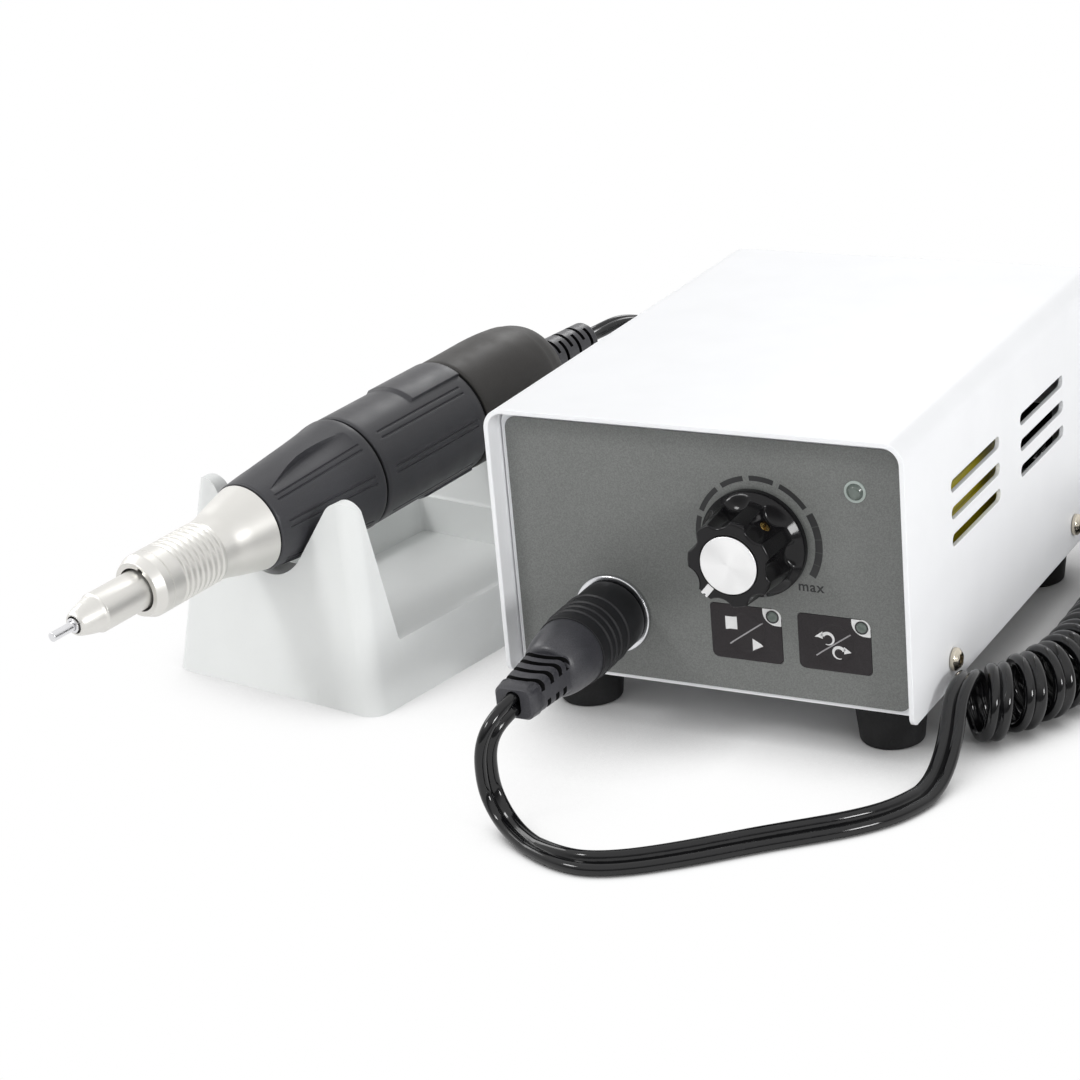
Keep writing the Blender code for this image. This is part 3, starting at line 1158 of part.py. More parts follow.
def make_stand(stand):
    """Notched stand: block with leaning sides, a well between two walls, and a notch in each wall."""
    lean = math.tan(STAND_SIDE_LEAN)
    notch = math.tan(NOTCH_HALF_ANGLE)
    peak = (STAND_HALF_WIDTH + NOTCH_APEX_HEIGHT * notch) / (lean + notch)
    top = peak + OVERRUN
    sections = []
    for z in (0, top):
        inset = z * math.tan(STAND_END_LEAN)
        half = STAND_HALF_WIDTH - z * lean
        middle = STAND_LENGTH / 2 - STAND_LEAD
        outline = rectangle(2 * half, STAND_LENGTH - 2 * inset, STAND_CORNER, (0, middle))
        sections.append([(x, y, z) for x, y in outline])
    block = add_node("handpiece_stand", loft(sections), "stand_plastic", stand)
    wide = STAND_HALF_WIDTH + FIT
    peak_x = wide - lean * peak
    profile = rounded([
        (-wide - lean * OVERRUN, -OVERRUN, 0), (wide + lean * OVERRUN, -OVERRUN, 0), (peak_x, peak, STAND_PEAK_RADIUS),
        (0, NOTCH_APEX_HEIGHT, NOTCH_ROUND), (-peak_x, peak, STAND_PEAK_RADIUS),
    ], 2 * ARC_STEPS)
    combine(block, extruded(profile, -OVERRUN, STAND_LENGTH + OVERRUN, "Y"), "INTERSECT")
    foot, high = wall_inner(STAND_RAIL_HEIGHT), wall_inner(top)
    gap = [(foot[0], STAND_RAIL_HEIGHT), (foot[1], STAND_RAIL_HEIGHT), (high[1], top), (high[0], top)]
    reach = STAND_HALF_WIDTH + OVERRUN
    cut(block, extruded(gap, -reach, reach, "X"))
    start, end = foot[0] + STAND_WELL_MARGIN, foot[1] - STAND_WELL_MARGIN
    well = box((-STAND_RAIL_INNER, start, STAND_DECK), (STAND_RAIL_INNER, end, STAND_RAIL_HEIGHT + OVERRUN))
    cut(block, well)


def along_profile(start, length, first, last, shares):
    """Points (radius, station) of a taper given by shares of its length and of its rise."""
    return [(first + (last - first) * rise, start + length * share) for share, rise in shares]


def scooped(angle, radius, station):
    """Radius of the grip's outside, drawn in by four finger scoops."""
    if radius <= SLEEVE_RADIUS + FIT:
        return radius
    share = (station - GRIP_FRONT) / GRIP_LENGTH
    depth = GRIP_SCOOP_DEPTH * math.sin(math.pi * min(max(share, 0), 1)) ** 2
    up = angle - math.pi / 2
    near = min(abs(math.remainder(up - scoop, 2 * math.pi)) for scoop in GRIP_SCOOP_ANGLES)
    return radius - depth * max(0, math.cos(math.pi / 2 * min(near / GRIP_SCOOP_SPREAD, 1))) ** 2


def make_grip(chuck):
    """Tapered front grip, which turns on the sleeve of the motor case to open the collet."""
    bore = SLEEVE_RADIUS + FIT
    stations, radii = grip_outline()
    profile = [(bore, GRIP_FRONT)] + list(zip(radii, stations)) + [(bore, GRIP_REAR)]
    add_node("front_grip", turned(profile, SIDES_LARGE, scooped, True), "soft_black", chuck)


def make_case(handpiece):
    """Motor case with its front sleeve, spigot for the nose cone and two raised pads."""
    bore = MAGNET_RADIUS + FIT
    profile = (
        (SLEEVE_BORE - (SLEEVE_RADIUS - SPIGOT_RADIUS), SPIGOT_FRONT), (SPIGOT_RADIUS, SPIGOT_FRONT),
        (SPIGOT_RADIUS, GRIP_FRONT - FIT), (SLEEVE_RADIUS, GRIP_FRONT), (SLEEVE_RADIUS, CASE_FRONT),
        (CASE_RADIUS, CASE_FRONT), (CASE_RADIUS, CASE_REAR), (bore, CASE_REAR), (bore, CASE_FRONT + CASE_END_WALL),
        (SLEEVE_BORE, CASE_FRONT + CASE_END_WALL), (SLEEVE_BORE, GRIP_FRONT),
        (SLEEVE_BORE - (SLEEVE_RADIUS - SPIGOT_RADIUS), GRIP_FRONT - FIT),
    )
    case = add_node("motor_case", turned(profile, SIDES_LARGE, closed=True), "soft_black", handpiece)
    pads = []
    for middle in (math.pi / 2, -math.pi / 2):
        start, end = middle - PAD_HALF_ANGLE, middle + PAD_HALF_ANGLE
        outline = arc((0, 0), PAD_RADIUS, start, end, 2 * ARC_STEPS)
        outline += arc((0, 0), CASE_RADIUS - PAD_ROOT, end, start, ARC_STEPS)
        pads.append(extruded(outline, CASE_REAR - PAD_LENGTH, CASE_REAR))
    add(case, *pads)


def make_cap(handpiece):
    """Rear cap of the handpiece, and the slotted strain relief that comes out of it."""
    outside = [(CAP_RADIUS * rise, CAP_FRONT + share * CAP_LENGTH) for share, rise in CAP_PROFILE_SHARES]
    neck = RELIEF_NECK_RADIUS + FIT
    wall = CAP_REAR - CAP_END_WALL
    seat_end = HOLDER_FRONT + HOLDER_LENGTH + FIT
    rim = HOLDER_RADIUS + FIT
    inside = [(neck, CAP_REAR), (neck, wall), (CAP_BORE, wall), (CAP_BORE, seat_end), (rim, seat_end), (rim, CAP_FRONT)]
    add_node("rear_cap", turned(outside + inside, SIDES_LARGE, closed=True), "soft_black", handpiece)
    flange = wall - FIT
    profile = (
        (0, flange - RELIEF_FLANGE), (RELIEF_FLANGE_RADIUS, flange - RELIEF_FLANGE), (RELIEF_FLANGE_RADIUS, flange),
        (RELIEF_NECK_RADIUS, flange), (RELIEF_NECK_RADIUS, RELIEF_FRONT), (RELIEF_ROOT_RADIUS, RELIEF_FRONT),
        (RELIEF_TIP_RADIUS, RELIEF_REAR), (0, RELIEF_REAR),
    )
    relief = add_node("handpiece_strain_relief", turned(profile, SIDES_SMALL), "soft_black", handpiece)
    pitch = RELIEF_LENGTH / (RELIEF_SLOTS + 1)
    tools = []
    for i in range(RELIEF_SLOTS):
        z = RELIEF_FRONT + pitch * (i + 1)
        depth = RELIEF_ROOT_RADIUS - RELIEF_SLOT_DEPTH
        side = 1 if i % 2 else -1
        for sign in (side, -side):
            shift = 0 if sign == side else pitch / 2
            low, high = sorted((sign * depth, sign * (RELIEF_ROOT_RADIUS + OVERRUN)))
            start = z + shift - RELIEF_SLOT / 2
            tools.append(box((low, -RELIEF_ROOT_RADIUS, start), (high, RELIEF_ROOT_RADIUS, start + RELIEF_SLOT)))
    cut(relief, *tools)


def make_nose(handpiece):
    """Ridged nose cone on the spigot of the case, and the nose tip in front of it."""
    front_bore = TIP_ROOT_RADIUS + FIT
    bearing_bore = BEARING_RADIUS + FIT
    spigot_bore = SPIGOT_RADIUS + FIT
    step = CONE_FRONT + TIP_SHANK_LENGTH + FIT
    band = CONE_FRONT + CONE_BEVEL_LENGTH
    ridges = band + CONE_BAND_LENGTH
    root = CONE_BAND_RADIUS - CONE_RIDGE_DEPTH
    outside = [(CONE_FACE_RADIUS, CONE_FRONT), (CONE_BAND_RADIUS, band), (CONE_BAND_RADIUS, ridges)]
    for i in range(CONE_RIDGES):
        start = ridges + i * CONE_RIDGE_PITCH
        outside += [(root, start + CONE_RIDGE_PITCH / 3), (CONE_BAND_RADIUS, start + CONE_RIDGE_PITCH)]
    flare = outside[-1][1] + CONE_RIDGE_PITCH / 3
    outside += along_profile(flare, CONE_REAR - flare, CONE_NECK_RADIUS, CONE_REAR_RADIUS, CONE_FLARE_SHARES)
    inside = [
        (spigot_bore, CONE_REAR), (spigot_bore, SPIGOT_FRONT - FIT), (bearing_bore, SPIGOT_FRONT - FIT),
        (bearing_bore, step), (front_bore, step), (front_bore, CONE_FRONT),
    ]
    add_node("nose_cone", turned(outside + inside, SIDES_MEDIUM, closed=True), "satin_nickel", handpiece)
    outside = along_profile(TIP_FRONT, TIP_OGIVE_LENGTH, TIP_FACE_RADIUS, TIP_SHOULDER_RADIUS, TIP_PROFILE_SHARES)
    outside += [(TIP_ROOT_RADIUS, CONE_FRONT), (TIP_ROOT_RADIUS, CONE_FRONT + TIP_SHANK_LENGTH)]
    mouth = COLLET_NOSE_RADIUS + FIT
    throat = COLLET_RADIUS + 2 * FIT
    bore = SPINDLE_RADIUS + FIT
    inside = [
        (bore, CONE_FRONT + TIP_SHANK_LENGTH), (bore, SPINDLE_FRONT - FIT), (throat, SPINDLE_FRONT - 2 * FIT),
        (throat, TIP_FRONT + COLLET_NOSE_LENGTH), (mouth, TIP_FRONT + COLLET_NOSE_LENGTH - 2 * FIT),
        (mouth, TIP_FRONT),
    ]
    add_node("nose_tip", turned(outside + inside, SIDES_MEDIUM, closed=True), "satin_nickel", handpiece)


def tube(outer, inner, start, length, sides=SIDES_MEDIUM):
    """Plain ring about Z."""
    end = start + length
    return turned([(inner, start), (outer, start), (outer, end), (inner, end)], sides, closed=True)


def make_spindle(spindle):
    """What turns in the handpiece: shaft with rotor and commutator, and the collet in its front end."""
    bore = COLLET_RADIUS + FIT
    collet_front = TIP_FRONT - COLLET_PROUD
    collet_rear = collet_front + COLLET_LENGTH
    rear = HOLDER_FRONT + HOLDER_LENGTH
    shaft = (
        (0, collet_rear + FIT), (bore, collet_rear + FIT), (bore, SPINDLE_FRONT), (SPINDLE_RADIUS, SPINDLE_FRONT),
        (SPINDLE_RADIUS, rear), (0, rear),
    )
    add_node("spindle_shaft", turned(shaft, SIDES_SMALL), "steel", spindle)
    hole = MANDREL_RADIUS + FIT
    nose = TIP_FRONT + COLLET_NOSE_LENGTH
    collet = (
        (hole, collet_front), (COLLET_NOSE_RADIUS, collet_front), (COLLET_NOSE_RADIUS, nose - FIT),
        (COLLET_RADIUS, nose + FIT), (COLLET_RADIUS, collet_rear), (hole, collet_rear),
    )
    add_node("collet", turned(collet, SIDES_SMALL, closed=True), "steel", spindle)
    slot_root = ROTOR_RADIUS - ROTOR_SLOT_DEPTH

    def slotted(angle, radius, height):
        """Alternates full and reduced radius so that slots run along the rotor."""
        if radius < slot_root:
            return radius
        place = angle / (2 * math.pi) * ROTOR_SLOTS
        return slot_root if place % 1 > 3 / 4 - 1 / 8 else radius

    bore = SPINDLE_RADIUS + FIT
    end = ROTOR_FRONT + ROTOR_LENGTH
    rotor = [(bore, ROTOR_FRONT), (ROTOR_RADIUS, ROTOR_FRONT), (ROTOR_RADIUS, end), (bore, end)]
    add_node("rotor", turned(rotor, 4 * ROTOR_SLOTS, slotted, True), "core_iron", spindle)
    commutator = tube(COMMUTATOR_RADIUS, bore, COMMUTATOR_FRONT, COMMUTATOR_LENGTH)
    add_node("commutator", commutator, "copper", spindle)


def make_motor(handpiece):
    """Fixed parts of the motor: bearings, magnet ring, brush holder and brushes."""
    bore = SPINDLE_RADIUS + FIT
    first = CONE_FRONT + TIP_SHANK_LENGTH + 2 * FIT
    second = SPIGOT_FRONT - 2 * FIT - BEARING_WIDTH
    rear = HOLDER_FRONT + HOLDER_CHAMBER + FIT
    for name, start in (("front_bearing_a", first), ("front_bearing_b", second), ("rear_bearing", rear)):
        add_node(name, tube(BEARING_RADIUS, bore, start, BEARING_WIDTH, SIDES_SMALL), "steel", handpiece)
    magnet = tube(MAGNET_RADIUS, MAGNET_BORE, MAGNET_FRONT, MAGNET_LENGTH)
    add_node("magnet_ring", magnet, "magnet", handpiece)
    seat_bore = BEARING_RADIUS + FIT
    chamber = HOLDER_FRONT + HOLDER_CHAMBER
    end = HOLDER_FRONT + HOLDER_LENGTH
    profile = (
        (HOLDER_BORE, HOLDER_FRONT), (HOLDER_RADIUS, HOLDER_FRONT), (HOLDER_RADIUS, end), (seat_bore, end),
        (seat_bore, chamber), (HOLDER_BORE, chamber),
    )
    holder = add_node("brush_holder", turned(profile, SIDES_MEDIUM, closed=True), "black_plastic", handpiece)
    middle = (HOLDER_FRONT + COMMUTATOR_FRONT + COMMUTATOR_LENGTH) / 2
    inner = COMMUTATOR_RADIUS + FIT
    tools = []
    for side, name in ((-1, "brush_left"), (1, "brush_right")):
        low, high = sorted((side * (HOLDER_BORE - FIT), side * (HOLDER_RADIUS + OVERRUN)))
        half, tall = BRUSH_WIDTH / 2 + FIT, BRUSH_LENGTH / 2 + FIT
        tools.append(box((low, -half, middle - tall), (high, half, middle + tall)))
        low, high = sorted((side * inner, side * (inner + BRUSH_HEIGHT)))
        half, tall = BRUSH_WIDTH / 2, BRUSH_LENGTH / 2
        add_node(name, box((low, -half, middle - tall), (high, half, middle + tall)), "carbon", handpiece)
    cut(holder, *tools)


def make_mandrel(mandrel):
    """Steel test mandrel in the collet."""
    end = MANDREL_FRONT + MANDREL_LENGTH
    edge = MANDREL_RADIUS / 4
    profile = (
        (0, MANDREL_FRONT), (MANDREL_RADIUS - edge, MANDREL_FRONT), (MANDREL_RADIUS, MANDREL_FRONT + edge),
        (MANDREL_RADIUS, end), (0, end),
    )
    add_node("test_mandrel", turned(profile, SIDES_SMALL), "steel", mandrel)


# Cord


def smooth_route(points):
    """Finely spaced points of a smooth curve through a route's own points."""
    knots = np.array(points)
    knots = np.vstack([2 * knots[0] - knots[1], knots, 2 * knots[-1] - knots[-2]])
    fine = []
    for a, b, c, d in zip(knots, knots[1:], knots[2:], knots[3:]):
        for i in range(ROUTE_FINENESS):
            t = i / ROUTE_FINENESS
            fine.append(b + t * (c - a) / 2 + t ** 2 * (a - 5 / 2 * b + 2 * c - d / 2)
                        + t ** 3 * (3 * (b - c) + d - a) / 2)
    fine.append(knots[-2])
    return np.array(fine)


def spaced(points, step):
    """Points at equal steps along a fine route, both ends kept."""
    reach = np.concatenate([[0], np.cumsum(np.linalg.norm(np.diff(points, axis=0), axis=1))])
    count = max(2, int(round(reach[-1] / step)) + 1)
    places = np.linspace(0, reach[-1], count)
    return np.stack([np.interp(places, reach, points[:, axis]) for axis in range(3)], axis=1)


def curl_point(axis, angle, place):
    """Point of the curly cord at a distance along its middle line, at an angle from the top."""
    reach = np.concatenate([[0], np.cumsum(np.linalg.norm(np.diff(axis, axis=0), axis=1))])
    centre = np.array([np.interp(place, reach, axis[:, k]) for k in range(3)])
    ahead = np.array([np.interp(place + CORD_DIAMETER, reach, axis[:, k]) for k in range(3)])
    behind = np.array([np.interp(place - CORD_DIAMETER, reach, axis[:, k]) for k in range(3)])
    along = (ahead - behind) / np.linalg.norm(ahead - behind)
    right = np.cross(along, (0, 0, 1))
    return centre + CURL_RADIUS * (math.cos(angle) * np.array((0, 0, 1)) + math.sin(angle) * right)


def curl_line():
    """Middle line of the curly cord, with a straight end one diameter long at each end."""
    axis = smooth_route([(x, y, CURL_DIAMETER / 2 + FIT) for x, y in CURL_AXIS])
    length = float(np.sum(np.linalg.norm(np.diff(axis, axis=0), axis=1)))
    turns = CURLS + CURL_QUARTER_SHARE
    count = int(round(turns * CURL_POINTS))
    points = []
    for i in range(count + 1):
        share = i / count
        points.append(curl_point(axis, -math.pi / 2 - 2 * math.pi * turns * share, length * share))
    tiny = 1 / (count * CURL_POINTS)
    ends = []
    for share, way in ((0, 1), (1, -1)):
        near = share + way * tiny
        turn = -math.pi / 2 - 2 * math.pi * turns * near
        out = points[0 if share == 0 else -1] - curl_point(axis, turn, length * near)
        out[2] = 0 if share else out[2]
        ends.append(out / np.linalg.norm(out))
    first = points[0] + ends[0] * CORD_DIAMETER
    last = points[-1] + ends[1] * CORD_DIAMETER
    return np.array([first, *points, last]), ends


def least_gap(points):
    """Smallest gap between turns of the tube, measured on its points."""
    skip = CURL_POINTS * 3 // 4
    gaps = [np.linalg.norm(points[i + skip:] - points[i], axis=1).min() for i in range(len(points) - skip)]
    return min(gaps) - CORD_DIAMETER


def add_tube(name, points, parent, resolution):
    """Round tube along points, with flat caps."""
    curve = bpy.data.curves.new(name, "CURVE")
    curve.dimensions = "3D"
    curve.bevel_depth = CORD_DIAMETER / 2
    curve.bevel_resolution = resolution
    curve.use_fill_caps = True
    curve.twist_mode = "MINIMUM"
    spline = curve.splines.new("POLY")
    spline.points.add(len(points) - 1)
    spline.points.foreach_set("co", np.column_stack([points, np.ones(len(points))]).ravel())
    spline.use_smooth = True
    curve.materials.append(finish("cable"))
    node = bpy.data.objects.new(name, curve)
    bpy.context.collection.objects.link(node)
    node.parent = parent
    return node


def stretch(start, start_way, route, end, end_way):
    """Points of a free stretch whose ends run straight for one diameter out of what they meet."""
    start, end = np.array(start), np.array(end)
    inner = [start + start_way * CORD_DIAMETER, *np.array(route), end + end_way * CORD_DIAMETER]
    curve = spaced(smooth_route(inner), CORD_DIAMETER * CORD_STEP_SHARE)
    return np.vstack([start, curve, end])


def make_cord(root, plug, plug_exit, handpiece):
    """Curly cord, the stretch from the plug to its first curl, and the lead to the handpiece."""
    line, ends = curl_line()
    add_tube("cord_curly", line, root, 1)
    bpy.context.view_layer.update()
    start = np.array(plug.matrix_world @ Vector((0, 0, plug_exit)))
    way = np.array(plug.matrix_world.to_3x3() @ Vector((0, 0, 1)))
    front = stretch(start, way, FRONT_ROUTE, line[0] + ends[0] * FIT, ends[0])
    add_tube("cord_front", front, root, 2)
    exit_point = np.array(handpiece.matrix_world @ Vector((0, 0, RELIEF_REAR + FIT)))
    back = np.array(handpiece.matrix_world.to_3x3() @ Vector((0, 0, 1)))
    rear = stretch(line[-1] + ends[1] * FIT, ends[1], REAR_ROUTE, exit_point, back)
    add_tube("cord_rear", rear, root, 2)
    print(f"least gap between curls {least_gap(line) * 1000:.2f} mm")
    for name, points in (("cord_front", front), ("cord_curly", line), ("cord_rear", rear)):
        print(f"{name} is {np.sum(np.linalg.norm(np.diff(points, axis=0), axis=1)):.3f} m long")


# Assembly


def centre_on_footprint(root):
    """Moves the root so that the middle of the footprint, cord and plug left out, is the origin."""
    on_cord = {"cord_front", "cord_curly", "cord_rear", "handpiece_plug", "plug_strain_relief"}
    bpy.context.view_layer.update()
    view = bpy.context.evaluated_depsgraph_get()
    corners = []
    for node in bpy.data.objects:
        if node.type == "EMPTY" or node.hide_render or node.name in on_cord:
            continue
        shape = node.evaluated_get(view).to_mesh()
        corners += [node.matrix_world @ vertex.co for vertex in shape.vertices]
    corners = np.array(corners)
    low, high = corners.min(axis=0), corners.max(axis=0)
    root.location = (-(low[0] + high[0]) / 2, -(low[1] + high[1]) / 2, -low[2])
    bpy.context.view_layer.update()


def main():
    """Builds every piece and brings the whole over the origin."""
    for item in list(bpy.data.objects):
        bpy.data.objects.remove(item, do_unlink=True)
    quarter = math.pi / 2
    root = add_frame("micromotor")
    shell = add_frame("control_unit", root, (0, 0, FOOT_HEIGHT))
    panel = add_frame("front_panel_frame", shell, (0, PANEL_SETBACK, 0), (quarter, 0, 0))
    back = add_frame("rear_plate_frame", shell, (UNIT_WIDTH, UNIT_DEPTH - PANEL_SETBACK, 0), (quarter, 0, math.pi))
    speed = add_frame("speed_axis", panel, (KNOB_X, KNOB_HEIGHT, 0))
    plug = add_frame("plug_axis", panel, (SOCKET_X, SOCKET_HEIGHT, 0), (PLUG_DROOP, 0, 0))

    make_cover(shell)
    make_tray(shell)
    make_label(panel)
    make_keys(panel)
    make_key_board(panel)
    make_power_lamp(panel)
    make_knob(speed)
    make_potentiometer(panel, speed)
    make_socket(panel)
    plug_exit = make_plug(plug)
    make_feet(shell)
    make_cover_screws(shell)
    make_transformer(shell)
    make_circuit_board(shell)

    places = make_rear_fittings(back)
    x, y, _ = places["switch"]
    make_rocker(add_frame("rocker_pivot", back, (x, y, -ROCKER_PIVOT_DROP)))
    make_fuse_cap(add_frame("fuse_axis", back, places["fuse"]))

    stand = add_frame("stand_frame", root, (STAND_X, STAND_Y, 0), (0, 0, -STAND_TURN))
    make_stand(stand)
    height, tilt = handpiece_rest()
    handpiece = add_frame("handpiece_axis", stand, (0, 0, height), (quarter - tilt, 0, math.pi))
    chuck = add_frame("chuck_axis", handpiece)
    spindle = add_frame("spindle_axis", handpiece)
    mandrel = add_frame("mandrel_axis", spindle)
    make_grip(chuck)
    make_case(handpiece)
    make_cap(handpiece)
    make_nose(handpiece)
    make_spindle(spindle)
    make_motor(handpiece)
    make_mandrel(mandrel)
    make_cord(root, plug, plug_exit, handpiece)

    centre_on_footprint(root)
    for frame in (speed, plug, handpiece, stand, panel, back):
        print(frame.name, [round(value, 5) for value in frame.matrix_world.translation])
    print("handpiece tilt in degrees", round(math.degrees(tilt), 3))


main()
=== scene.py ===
"""Looks of a dental laboratory micromotor: control unit, curly cord, handpiece and notched stand.

Sizes are millimetres in the frame of their own sub-assembly. A Place turns them into metres in
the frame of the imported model, and every surface is a grid of points worked out as whole arrays.
"""
import logging
import math
from dataclasses import dataclass
from enum import Enum
from typing import Callable, Optional, Sequence

import bmesh
import bpy
import numpy as np
from mathutils import Matrix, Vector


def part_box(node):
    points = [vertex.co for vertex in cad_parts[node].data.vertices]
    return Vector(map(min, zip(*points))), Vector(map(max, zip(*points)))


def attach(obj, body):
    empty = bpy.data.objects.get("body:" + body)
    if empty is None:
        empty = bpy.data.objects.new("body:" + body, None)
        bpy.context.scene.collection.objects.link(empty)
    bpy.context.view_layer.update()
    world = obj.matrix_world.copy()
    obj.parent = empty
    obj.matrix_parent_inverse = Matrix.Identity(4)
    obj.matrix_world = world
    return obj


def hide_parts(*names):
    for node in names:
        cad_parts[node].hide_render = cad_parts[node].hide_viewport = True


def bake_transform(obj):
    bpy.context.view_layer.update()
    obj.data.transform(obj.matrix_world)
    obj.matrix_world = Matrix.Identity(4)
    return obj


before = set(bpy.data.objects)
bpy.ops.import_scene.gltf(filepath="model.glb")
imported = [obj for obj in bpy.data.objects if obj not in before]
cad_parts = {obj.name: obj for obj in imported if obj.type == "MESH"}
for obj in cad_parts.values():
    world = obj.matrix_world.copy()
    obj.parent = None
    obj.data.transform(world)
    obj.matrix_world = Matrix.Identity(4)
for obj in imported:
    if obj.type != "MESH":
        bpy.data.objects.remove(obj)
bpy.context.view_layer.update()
LOG = logging.getLogger("micromotor")
Array = np.ndarray
Shape = Callable[[Array, Array, Array], Array]
MM = 0.001
SHARP = math.radians(40)


def shift(x: float, y: float, z: float) -> Array:
    """Matrix that moves by a distance in millimetres."""
    matrix = np.eye(4)
    matrix[:3, 3] = (x, y, z)
    return matrix


@dataclass(frozen=True)
class Place:
    """Frame of a sub-assembly: millimetres inside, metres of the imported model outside."""

    matrix: Array

    def put(self, points: Array) -> Array:
        """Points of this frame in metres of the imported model."""
        return (np.asarray(points) @ self.matrix[:3, :3].T + self.matrix[:3, 3]) * MM

    def moved(self, x: float, y: float, z: float = 0.0) -> "Place":
        """Frame moved along its own axes."""
        return Place(self.matrix @ shift(x, y, z))

    def turned(self, axis: str, degrees: float) -> "Place":
        """Frame turned about one of its own axes."""
        return Place(self.matrix @ np.array(Matrix.Rotation(math.radians(degrees), 4, axis)))


COVER_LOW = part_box("cover")[0]
FOOT_RISE = 12.3
UNIT = Place(shift(COVER_LOW.x / MM, COVER_LOW.y / MM, 0))
SHELL = UNIT.moved(0, 0, FOOT_RISE)
PANEL = SHELL.moved(0, 5.3).turned("X", 90)
REAR = SHELL.moved(105, 133.5).turned("Z", 180).turned("X", 90)
SIDE = SHELL.turned("Z", 90).turned("X", 90)
PLUG = PANEL.moved(27.8, 16.8).turned("X", 1.8)
STAND = UNIT.moved(-66.2, -5.0).turned("Z", -9.7)
HANDPIECE = STAND.moved(0, 0, 45.58).turned("Z", 180).turned("X", 90 - 3.148)


class Tree:
    """Short way to add nodes to a material and to join them."""

    def __init__(self, material: bpy.types.Material) -> None:
        """Starts on the nodes of a new material."""
        self.tree = material.node_tree
        self.shader = self.tree.nodes["Principled BSDF"]

    def add(self, kind: str, inputs: Optional[dict] = None, **settings: object) -> bpy.types.Node:
        """Adds a node.

        Args:
            kind: Blender's name of the node.
            inputs: Values or sockets by the name of the input.
            settings: Properties of the node.

        Returns:
            The new node.
        """
        node = self.tree.nodes.new(kind)
        for name, value in settings.items():
            setattr(node, name, value)
        for name, value in (inputs or {}).items():
            socket = node.inputs[name]
            if isinstance(value, bpy.types.NodeSocket):
                self.tree.links.new(value, socket)
            else:
                socket.default_value = value
        return node

    def noise(self, size: float, where: object, detail: float = 3.0, stretch: Optional[tuple] = None) -> object:
        """Noise whose patches have a size in millimetres, on coordinates in metres."""
        if stretch:
            where = self.add("ShaderNodeMapping", {"Vector": where, "Scale": stretch}).outputs[0]
        inputs = {"Vector": where, "Scale": 1 / (size * MM), "Detail": detail}
        return self.add("ShaderNodeTexNoise", inputs).outputs[0]

    def ramp(self, factor: object, low: tuple, high: tuple, start: float = 0.3, end: float = 0.7) -> object:
        """Colour that goes from low to high as the factor goes from start to end."""
        node = self.add("ShaderNodeValToRGB", {"Fac": factor})
        stops = node.color_ramp.elements
        stops[0].position, stops[1].position = start, end
        stops[0].color, stops[1].color = (*low, 1), (*high, 1)
        return node.outputs[0]

    def span(self, factor: object, low: float, high: float, start: float = 0.3, end: float = 0.7) -> object:
        """Number that goes from low to high as the factor goes from start to end."""
        inputs = {"Value": factor, "From Min": start, "From Max": end, "To Min": low, "To Max": high}
        return self.add("ShaderNodeMapRange", inputs).outputs[0]

    def mix(self, factor: object, first: object, second: object) -> object:
        """Blend of two colours."""
        node = self.add("ShaderNodeMix", data_type="RGBA")
        for socket, value in ((node.inputs[0], factor), (node.inputs[6], first), (node.inputs[7], second)):
            if isinstance(value, bpy.types.NodeSocket):
                self.tree.links.new(value, socket)
            else:
                socket.default_value = value if isinstance(value, float) else (*value, 1)
        return node.outputs[2]

    def bump(self, height: object, depth: float, under: object = None) -> object:
        """Normal that follows a height, with its depth in millimetres."""
        inputs = {"Strength": 1.0, "Distance": depth * MM, "Height": height}
        if under:
            inputs["Normal"] = under
        return self.add("ShaderNodeBump", inputs).outputs[0]

    def set(self, **values: object) -> None:
        """Sets or joins sockets of the shader, with spaces in their names written as underscores."""
        for name, value in values.items():
            socket = self.shader.inputs[name.replace("_", " ")]
            if isinstance(value, bpy.types.NodeSocket):
                self.tree.links.new(value, socket)
            else:
                socket.default_value = value


def linear(colour: Sequence[float]) -> tuple:
    """Screen colour from 0 to 255 as light, by the usual screen curve."""
    share = np.asarray(colour, float) / 255
    light = np.where(share <= 0.04045, share / 12.92, ((share + 0.055) / 1.055) ** 2.4)
    return tuple(float(c) for c in light)


@dataclass(frozen=True)
class Finish:
    """Finish of a surface: its colour drifts in soft patches and its grain lifts the surface."""

    name: str
    slot: str
    colour: tuple
    roughness: float
    metallic: float = 0.0
    drift: float = 0.05
    patch: float = 14.0
    spread: float = 0.05
    grain: float = 0.5
    relief: float = 0.01
    specular: float = 0.5
    coat: float = 0.0

    def make(self) -> bpy.types.Material:
        """Material of the finish, made once."""
        material = bpy.data.materials.get(self.name)
        if material:
            return material
        material = bpy.data.materials.new(self.name)
        material.use_nodes = True
        tree = Tree(material)
        where = tree.add("ShaderNodeTexCoord").outputs["Object"]
        tree.set(Metallic=self.metallic, Specular_IOR_Level=self.specular, Coat_Weight=self.coat)
        tree.set(Coat_Roughness=0.08)
        self.paint(tree, where)
        return material

    def shades(self) -> tuple:
        """Darkest and lightest colour that the finish drifts between."""
        base = np.array(linear(self.colour))
        return tuple(base * (1 - self.drift)), tuple(np.minimum(base * (1 + self.drift), 1))

    def paint(self, tree: Tree, where: object) -> None:
        """Joins colour, roughness and grain to the shader."""
        tree.set(Base_Color=tree.ramp(tree.noise(self.patch, where, 5), *self.shades()))
        low, high = max(self.roughness - self.spread, 0.03), self.roughness + self.spread
        tree.set(Roughness=tree.span(tree.noise(self.patch / 3, where, 4), low, high))
        tree.set(Normal=tree.bump(tree.noise(self.grain, where, 2), self.relief))


